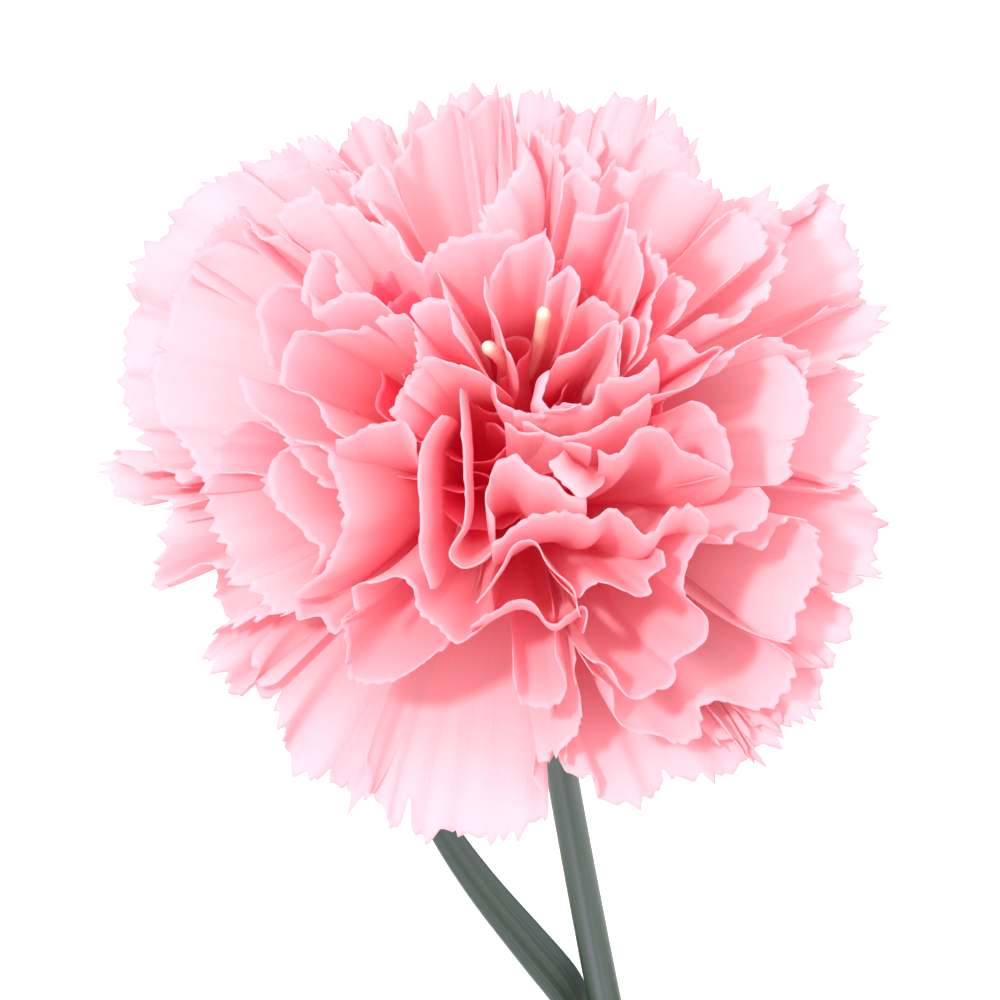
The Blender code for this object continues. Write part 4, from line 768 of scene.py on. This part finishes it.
def smooth_path(points, count):
    """A smooth line of so many points, which passes each given point after equal counts."""
    points = np.asarray(points, float)
    fine = np.linspace(0, len(points) - 1, count)
    slopes = np.gradient(points, axis=0)
    k = np.clip(fine.astype(int), 0, len(points) - 2)
    return cubic(points[k], points[k + 1], slopes[k], slopes[k + 1], (fine - k)[:, None])


def tube_piece(name, path, radii, around, along):
    """A closed round tube along a path."""
    mesh, t, v = grids(name, 1, around, along)
    return rolled(name, mesh, tube_points(path, radii, v, (t + 1) / 2), t, v, capped=True)


def thicken(obj, thickness):
    wall = obj.modifiers.new("thickness", "SOLIDIFY")
    wall.thickness = thickness
    wall.offset = 0
    wall.use_quality_normals = True


def settle(obj, node, material):
    """Gives a piece its material and says what it rides on and stands in for."""
    obj.data.materials.clear()
    obj.data.materials.append(material)
    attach(obj, "root")
    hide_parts(node)


# ---------------------------------------------------------------- shader maths

class Value:
    """One socket of a material, with the arithmetic that its nodes do."""

    def __init__(self, graph, socket):
        self.graph = graph
        self.socket = socket

    def math(self, operation, first, second):
        return self.graph.node("ShaderNodeMath", {"operation": operation}, {0: first, 1: second})

    def __add__(self, other):
        return self.math("ADD", self, other)

    __radd__ = __add__

    def __sub__(self, other):
        return self.math("SUBTRACT", self, other)

    def __rsub__(self, other):
        return self.math("SUBTRACT", other, self)

    def __mul__(self, other):
        return self.math("MULTIPLY", self, other)

    __rmul__ = __mul__

    def between(self, low, high):
        """0 below low, 1 above high, smooth between."""
        sockets = {"Value": self, "From Min": low, "From Max": high}
        return self.graph.node("ShaderNodeMapRange", {"interpolation_type": "SMOOTHSTEP"}, sockets)


class Graph:
    """A material's node tree."""

    def __init__(self, name):
        self.material = bpy.data.materials.new(name)
        self.material.use_nodes = True
        self.tree = self.material.node_tree
        self.tree.nodes.clear()

    def node(self, kind, settings=None, sockets=None, output=0):
        """A node with its settings made and its sockets filled, as the value that it gives, if any."""
        node = self.tree.nodes.new(kind)
        for key, value in (settings or {}).items():
            setattr(node, key, value)
        for key, value in (sockets or {}).items():
            if isinstance(value, Value):
                self.tree.links.new(value.socket, node.inputs[key])
            else:
                node.inputs[key].default_value = value
        return Value(self, node.outputs[output]) if node.outputs else None

    def attribute(self, name, output="Fac"):
        return self.node("ShaderNodeAttribute", {"attribute_name": name}, output=output)

    def blade(self):
        """The place across and along a piece, and its number."""
        first = self.node("ShaderNodeSeparateXYZ", None, {0: self.attribute("blade", "Vector")})
        return [Value(self, socket) for socket in first.socket.node.outputs]

    def vector(self, x, y, z):
        return self.node("ShaderNodeCombineXYZ", None, {0: x, 1: y, 2: z})

    def mix(self, factor, first, second):
        """The second colour over the first, by the factor; sockets 6, 7 and 2 are those for colours."""
        return self.node("ShaderNodeMix", {"data_type": "RGBA"}, {0: factor, 6: first, 7: second}, output=2)

    def fades(self, rise, look, first, steps):
        """From the first colour on to the others, each coming in where its fade says."""
        colour = rgba(getattr(look, first))
        for low, high, share, name in steps:
            colour = self.mix(rise.between(low, high) * share, colour, rgba(getattr(look, name)))
        return colour

    def noise(self, vector, scale, detail, roughness):
        sockets = {"Vector": vector, "Scale": scale, "Detail": detail, "Roughness": roughness}
        return self.node("ShaderNodeTexNoise", None, sockets)

    def pattern(self, place, crosswise, lengthwise, detail, roughness):
        """Streaks and patches that lie across and along a piece."""
        across, along, number = place
        vector = self.vector(across * crosswise, along * lengthwise, number)
        return self.noise(vector, 1.0, detail, roughness)

    def specks(self, scale, detail):
        """Fine grain, the same size on every piece."""
        return self.noise(self.node("ShaderNodeTexCoord", output="Object"), scale, detail, 0.6)

    def bump(self, height, distance, strength):
        sockets = {"Height": height, "Distance": distance, "Strength": strength}
        return self.node("ShaderNodeBump", None, sockets)

    def principled(self, **sockets):
        """A principled shader; an underscore in a socket's name stands for a space."""
        named = {name.replace("_", " "): value for name, value in sockets.items()}
        return self.node("ShaderNodeBsdfPrincipled", None, named)

    def finished(self, shader):
        self.node("ShaderNodeOutputMaterial", None, {"Surface": shader})
        return self.material


def rgba(colour):
    return (*colour[:3], 1.0)


def petal_material(name, look, glow):
    """Thin, soft petal: deep at the claw, pale at the margin, finely veined, light shining through; the
    deep pink is partly its own colour and partly painted shade of the folds.
    """
    g = Graph(name)
    place = g.blade()
    along = place[1]
    depth = g.attribute("depth")
    veins = g.pattern(place, *VEINS)
    fibres = g.pattern(place, *FIBRES)
    mottle = g.pattern(place, *MOTTLE)
    rise = along + (veins - 0.5) * VEIN_SHIFT + (mottle - 0.5) * MOTTLE_SHIFT
    # Inner petals run up from deep pink at the claw and are deeper in the inner layers: partly their own
    # colour, partly painted shade of the folds
    inner = g.fades(rise + (MIDDLE_DEPTH - depth) * DEPTH_SHIFT, look, "deep", INNER_FADES)
    # The heart's petals go deep all over, partly as painted shade of the hollow under the dome
    inner = g.mix(depth.between(*DEEPEST[:2]) * DEEPEST[2], inner, rgba(look.deep))
    outer = g.fades(rise, look, "middle", OUTER_FADES)
    colour = g.mix(depth.between(*INNER_DEPTH), outer, inner)
    colour = g.mix(along.between(*EDGE_FADE[:2]) * EDGE_FADE[2], colour, rgba(look.edge))
    colour = g.mix((fibres - 0.5) * FIBRE_SHARE + FIBRE_BASE, colour, rgba(look.middle))
    normal = g.bump(veins * 0.6 + fibres * 0.4, 0.25 * MM, 0.4)
    surface = g.principled(
        Base_Color=colour,
        Roughness=0.55,
        Specular_IOR_Level=0.18,
        Sheen_Weight=0.06,
        Sheen_Roughness=0.5,
        # Painted glow: the petal gives off a faint red light of its own, standing in for light held in its
        # folds
        Emission_Color=rgba(look.painted_glow),
        Emission_Strength=PAINTED_GLOW_STRENGTH,
        Normal=normal,
    )
    shining = g.node("ShaderNodeBsdfTranslucent", None, {"Color": rgba(glow), "Normal": normal})
    return g.finished(g.node("ShaderNodeMixShader", None, {0: THROUGH_SHARE, 1: surface, 2: shining}))


def style_material(look):
    """Pale, waxy and faintly grainy, lighter toward the tip."""
    g = Graph("style")
    along = g.blade()[1]
    grain = g.specks(2600.0, 3.0)
    colour = g.mix(along.between(*STYLE_FADE), rgba(look.style_foot), rgba(look.style_tip))
    colour = g.mix((grain - 0.5) * STYLE_GRAIN, colour, rgba(look.style_tip))
    return g.finished(g.principled(
        Base_Color=colour,
        Roughness=0.45,
        Specular_IOR_Level=0.35,
        Subsurface_Weight=0.25,
        Subsurface_Radius=(2.0 * MM, 1.5 * MM, 1.0 * MM),
        Subsurface_Scale=1.0,
        Normal=g.bump(grain, 0.12 * MM, 0.6),
    ))


def green_material(name, base, look, ribs, relief, waxy):
    """Waxy green skin with fine lengthwise ribs and a pale, patchy wax bloom."""
    g = Graph(name)
    across, along, number = g.blade()
    lines = g.pattern((across, along, number), ribs, *RIB_LINES)
    wax = g.pattern((across, along, number + WAX_APART), *WAX)
    specks = g.specks(2200.0, 2.0)
    light = rgba(look.green_light)
    colour = g.mix(lines.between(*DARK_LINES), rgba(base), rgba(look.green_dark))
    colour = g.mix(wax.between(*WAX_PATCHES) * waxy, colour, light)
    colour = g.mix(specks.between(*WAX_SPECKS) * SPECK_SHARE, colour, light)
    return g.finished(g.principled(
        Base_Color=colour,
        Roughness=wax * WAX_ROUGHNESS + GREEN_ROUGHNESS,
        Specular_IOR_Level=0.4,
        Normal=g.bump(lines * 0.8 + specks * 0.2, 0.2 * MM, relief),
    ))


def floor_material(light):
    g = Graph("floor")
    return g.finished(g.principled(
        Base_Color=(0.9, 0.9, 0.9, 1),
        Roughness=0.9,
        Emission_Color=(1, 1, 1, 1),
        Emission_Strength=light.floor_glow,
    ))


# ---------------------------------------------------------------- settings

def colour_setting(name, description, default):
    return FloatVectorProperty(
        name=name, description=description, default=default, subtype="COLOR", size=3, min=0, max=1
    )


def amount(name, description, default, **limits):
    return FloatProperty(name=name, description=description, default=default, **limits)


class CarnationLook(bpy.types.PropertyGroup):
    """Colours of the carnation"""

    # Deep pink near the claws: partly the petals' own colour, partly painted shade of the folds deep in the
    # bloom
    deep: colour_setting("Deep pink", "Petals near their claws", (0.97, 0.10, 0.27))
    middle: colour_setting("Middle pink", "Petals half way up", (0.955, 0.44, 0.53))
    pale: colour_setting("Pale pink", "Petals near their margins", (0.93, 0.585, 0.65))
    palest: colour_setting("Palest pink", "Margins of the petals", (0.84, 0.61, 0.66))
    edge: colour_setting("Edge", "Thin edge of every petal", (0.78, 0.53, 0.62))
    guard_glow: colour_setting("Guard glow", "Light through the outer petals", (0.96, 0.50, 0.56))
    # A painted glow, not a colour of the petals: light that they give off to stand in for light held in
    # their folds
    painted_glow: colour_setting("Painted glow", "Light held in the folds between petals", (1.0, 0.02, 0.10))
    inner_glow: colour_setting("Inner glow", "Light through the inner petals", (0.97, 0.32, 0.42))
    style_foot: colour_setting("Style foot", "Lower half of the styles", (0.86, 0.46, 0.42))
    style_tip: colour_setting("Style tip", "Tips of the styles", (0.80, 0.66, 0.52))
    green: colour_setting("Green", "Stem and leaves", (0.034, 0.058, 0.040))
    green_light: colour_setting("Wax bloom", "Pale wax on stem and leaves", (0.150, 0.160, 0.190))
    green_dark: colour_setting("Dark green", "Lines between ribs", (0.024, 0.042, 0.026))
    calyx: colour_setting("Calyx green", "Tube behind the bloom", (0.13, 0.20, 0.085))


class CarnationForm(bpy.types.PropertyGroup):
    """Fine sizes of the carnation"""

    petal_thickness: amount(
        "Petal thickness", "Thickness of a petal", 0.12 * MM,
        min=0.1 * MM, max=0.6 * MM, unit="LENGTH", precision=5,
    )
    tooth_scale: amount("Teeth", "Size of the teeth on the margins", 1.0, min=0, max=3)
    leaf_thickness: amount(
        "Leaf thickness", "Thickness of a leaf", 0.55 * MM,
        min=0.2 * MM, max=1.0 * MM, unit="LENGTH", precision=5,
    )


class CarnationLight(bpy.types.PropertyGroup):
    """The studio"""

    key: amount("Key light", "Power of the small light in front", 5.0, min=0, unit="POWER")
    fill: amount("Side light", "Power of the broad light from the side", 1.8, min=0, unit="POWER")
    sky: amount("Surround", "Strength of the white surround", 1.36, min=0)
    floor_glow: amount("Floor glow", "Light given off by the white floor", 0.5, min=0)


class CarnationSettings(bpy.types.PropertyGroup):
    """Settings of the cut carnation"""

    look: PointerProperty(type=CarnationLook)
    form: PointerProperty(type=CarnationForm)
    light: PointerProperty(type=CarnationLight)


# ---------------------------------------------------------------- pieces

def sheet_piece(name, mesh, thickness, node, material):
    """A shaped sheet made as thick as the real thing, as one piece over its solid."""
    obj = new_object(name, mesh)
    thicken(obj, thickness)
    settle(obj, node, material)


def petal_piece(name, petals, material, form, first):
    """Petals of one layer as one piece of thin toothed sheets."""
    mesh, t, v = grids(name, len(petals), *PETAL_GRID)
    s = 1 - (1 - v) ** ROW_CROWDING
    points, blades = [], []
    for j, p in enumerate(petals):
        sheet = laid_down(petal_points(p, t, s, margin_line(p, t, form.tooth_scale)))
        points.append(pressed(sheet, (PETAL_REST + PETAL_REST_STEP * j) * MM, PETAL_SOFTNESS))
        blades.append(blade_values(t * p.span / (VEIN_WIDTH * MM), s, (first + j) * PETAL_NUMBER))
    set_points(mesh, np.concatenate(points))
    set_blade(mesh, np.concatenate(blades))
    set_attribute(mesh, "depth", "FLOAT", np.repeat([p.depth for p in petals], len(t)))
    sheet_piece(name, mesh, form.petal_thickness, "bloom", material)


class CARNATION_OT_petals(bpy.types.Operator):
    """Builds the guard petals, the collar inside them and the crowded inner petals"""

    bl_idname = "carnation.petals"
    bl_label = "Petals"

    def execute(self, context):
        settings = context.scene.carnation
        outer = petal_material("outer petal", settings.look, settings.look.guard_glow)
        inner = petal_material("inner petal", settings.look, settings.look.inner_glow)
        first = 0
        for layer, petals in zip(LAYERS, layer_petals()):
            material = outer if layer[0] in OUTER_LAYERS else inner
            petal_piece(f"petals_{layer[0]}", petals, material, settings.form, first)
            first += len(petals)
        return {"FINISHED"}


class CARNATION_OT_pistil(bpy.types.Operator):
    """Builds the two pale styles that stand out among the inner petals"""

    bl_idname = "carnation.pistil"
    bl_label = "Pistil"

    def execute(self, context):
        material = style_material(context.scene.carnation.look)
        radii = np.interp(np.linspace(0, 1, STYLE_STEPS), STYLE_PLACES, STYLE_RADII) * MM
        for j, path in enumerate(STYLES):
            line = laid_down(smooth_path(path, STYLE_STEPS) * MM)
            obj = tube_piece(f"style_{j + 1}", line, radii, *STYLE_GRID)
            settle(obj, "pistil", material)
        return {"FINISHED"}


class CARNATION_OT_calyx(bpy.types.Operator):
    """Builds the ribbed calyx tube with its teeth, and the bracts at its foot"""

    bl_idname = "carnation.calyx"
    bl_label = "Calyx"

    def execute(self, context):
        look = context.scene.carnation.look
        material = green_material("calyx", look.calyx, look, *CALYX_LOOK)
        self.tube(material)
        for j in range(BRACTS):
            self.bract(j, material)
        return {"FINISHED"}

    def tube(self, material):
        mesh, t, v = grids("calyx_tube", 1, *CALYX_GRID)
        profile = np.array(CALYX_FOOT + CALYX[::-1])
        at = shares(profile)
        height = np.interp(v, at, profile[:, 0])
        radius = np.interp(v, at, profile[:, 1]) - CALYX_INSET
        turn = math.pi * t
        ribs = RIB_HEIGHT * np.cos(CALYX_RIBS * turn) * smooth((v - RIB_START) * RIB_GROWTH)
        beat = turn * CALYX_TEETH / (2 * math.pi)
        tooth = 1 - 2 * np.abs(beat - np.round(beat))
        rise = tooth * smooth((v - TOOTH_START) / (1 - TOOTH_START)) * TOOTH_LENGTH
        bend = TOOTH_BEND * smooth((v - TOOTH_BEND_START) / (1 - TOOTH_BEND_START)) * tooth
        radius = radius + ribs - bend
        points = np.stack([radius * np.cos(turn), radius * np.sin(turn), height + rise], -1) * MM
        obj = rolled("calyx_tube", mesh, laid_down(points), t, v, capped=False)
        thicken(obj, CALYX_SKIN)
        settle(obj, "calyx", material)

    def bract(self, j, material):
        mesh, t, v = grids(f"bract_{j + 1}", 1, *BRACT_GRID)
        height = BRACT_FOOT + BRACT_LENGTH * v
        heights, radii = zip(*reversed(CALYX))
        radius = np.interp(height, heights, radii) + BRACT_GAP
        half = np.interp(v, BRACT_PLACES, BRACT_HALF_WIDTHS)
        middle = math.radians(45 + j * 360 / BRACTS)
        angle = middle + t * half / np.maximum(radius, BRACT_LEAST_RADIUS)
        points = np.stack([radius * np.cos(angle), radius * np.sin(angle), height], -1) * MM
        set_points(mesh, laid_down(points))
        set_blade(mesh, blade_values(t * BRACT_RIB_SHARE, v, BRACT_NUMBER + j))
        sheet_piece(mesh.name, mesh, BRACT_SKIN, "calyx", material)


class CARNATION_OT_stem(bpy.types.Operator):
    """Builds the stem with its swollen joints and cut end"""

    bl_idname = "carnation.stem"
    bl_label = "Stem"

    def execute(self, context):
        look = context.scene.carnation.look
        material = green_material("stem", look.green, look, *STEM_LOOK)
        along, *path, slope = stem_line(STEM_GRID[1])
        obj = tube_piece("stem_skin", np.stack(path, -1), stem_radius(along), *STEM_GRID)
        settle(obj, "stem", material)
        return {"FINISHED"}


class CARNATION_OT_leaves(bpy.types.Operator):
    """Builds the narrow channelled leaves that clasp the stem in pairs"""

    bl_idname = "carnation.leaves"
    bl_label = "Leaves"

    def execute(self, context):
        settings = context.scene.carnation
        material = green_material("leaf", settings.look.green, settings.look, *LEAF_LOOK)
        for j, (node, *leaf) in enumerate(LEAVES):
            mesh, t, v = grids(f"{node}_blade", 1, *LEAF_GRID)
            set_points(mesh, pressed(leaf_points(*leaf, v, t), 0.5 * LEAF_THICKNESS, LEAF_SOFTNESS))
            set_blade(mesh, blade_values(t, v, LEAF_NUMBER + j))
            sheet_piece(mesh.name, mesh, settings.form.leaf_thickness, node, material)
        return {"FINISHED"}


class CARNATION_OT_stage(bpy.types.Operator):
    """Sets out the white floor, the lights and the camera"""

    bl_idname = "carnation.stage"
    bl_label = "Stage"

    def execute(self, context):
        scene = context.scene
        light = scene.carnation.light
        self.floor(light)
        mouth = Vector(ORIGIN) + Vector((0, 0, MOUTH_HEIGHT))
        rise = AXIS_RISE + VIEW_OFF_AXIS
        back = Vector((0, -math.cos(rise), math.sin(rise)))
        up = Matrix.Rotation(VIEW_ROLL, 3, back) @ Vector((0, -math.sin(rise), -math.cos(rise)))
        axes = Matrix((up.cross(back).normalized(), up, back)).transposed()
        aim = mouth - axes @ Vector((VIEW_LEFT, VIEW_DOWN, 0))
        self.camera(scene, aim + back * VIEW_DISTANCE, axes)
        self.lamp("key", aim, axes, *KEY_LAMP, light.key)
        self.lamp("fill", aim, axes, *SIDE_LAMP, light.fill)
        world = bpy.data.worlds.new("surround")
        world.use_nodes = True
        background = world.node_tree.nodes["Background"].inputs
        background["Color"].default_value = (1, 1, 1, 1)
        background["Strength"].default_value = light.sky
        scene.world = world
        scene.view_settings.view_transform = "Standard"
        scene.cycles.max_bounces = BOUNCES
        scene.cycles.diffuse_bounces = BOUNCES
        scene.cycles.transmission_bounces = BOUNCES
        return {"FINISHED"}

    def floor(self, light):
        sheet = bmesh.new()
        bmesh.ops.create_grid(sheet, x_segments=1, y_segments=1, size=FLOOR_HALF_WIDTH)
        mesh = bpy.data.meshes.new("floor")
        sheet.to_mesh(mesh)
        sheet.free()
        mesh.materials.append(floor_material(light))
        new_object("floor", mesh)

    def camera(self, scene, place, axes):
        data = bpy.data.cameras.new("camera")
        data.sensor_width = SENSOR_WIDTH
        data.lens = SENSOR_WIDTH * VIEW_DISTANCE / VIEW_WIDTH
        data.clip_start, data.clip_end = CLIP
        camera = new_object("camera", data)
        camera.matrix_world = Matrix.Translation(place) @ axes.to_4x4()
        scene.camera = camera

    def lamp(self, name, aim, axes, toward, distance, size, power):
        data = bpy.data.lights.new(name, "AREA")
        data.size = size
        data.energy = power
        toward = (axes @ Vector(toward)).normalized()
        turned = toward.to_track_quat("Z", "Y").to_matrix().to_4x4()
        new_object(name, data).matrix_world = Matrix.Translation(aim + toward * distance) @ turned


OPERATORS = (
    CARNATION_OT_stage,
    CARNATION_OT_petals,
    CARNATION_OT_pistil,
    CARNATION_OT_calyx,
    CARNATION_OT_stem,
    CARNATION_OT_leaves,
)


class CARNATION_PT_panel(bpy.types.Panel):
    """Lists the steps that build the carnation"""

    bl_idname = "CARNATION_PT_panel"
    bl_label = "Cut Carnation"
    bl_space_type = "VIEW_3D"
    bl_region_type = "UI"
    bl_category = "Carnation"

    def draw(self, context):
        for operator in OPERATORS:
            self.layout.operator(operator.bl_idname)
        settings = context.scene.carnation
        for group in (settings.look, settings.form, settings.light):
            box = self.layout.box()
            for key in group.bl_rna.properties.keys():
                if key not in {"rna_type", "name"}:
                    box.prop(group, key)


SETTINGS = (CarnationLook, CarnationForm, CarnationLight, CarnationSettings)
CLASSES = SETTINGS + OPERATORS + (CARNATION_PT_panel,)


def register():
    for cls in CLASSES:
        bpy.utils.register_class(cls)
    bpy.types.Scene.carnation = PointerProperty(type=CarnationSettings)


def unregister():
    del bpy.types.Scene.carnation
    for cls in reversed(CLASSES):
        bpy.utils.unregister_class(cls)


def main():
    register()
    bpy.ops.carnation.stage()
    bpy.ops.carnation.petals()
    bpy.ops.carnation.pistil()
    bpy.ops.carnation.calyx()
    bpy.ops.carnation.stem()
    bpy.ops.carnation.leaves()


if __name__ == "__main__":
    main()
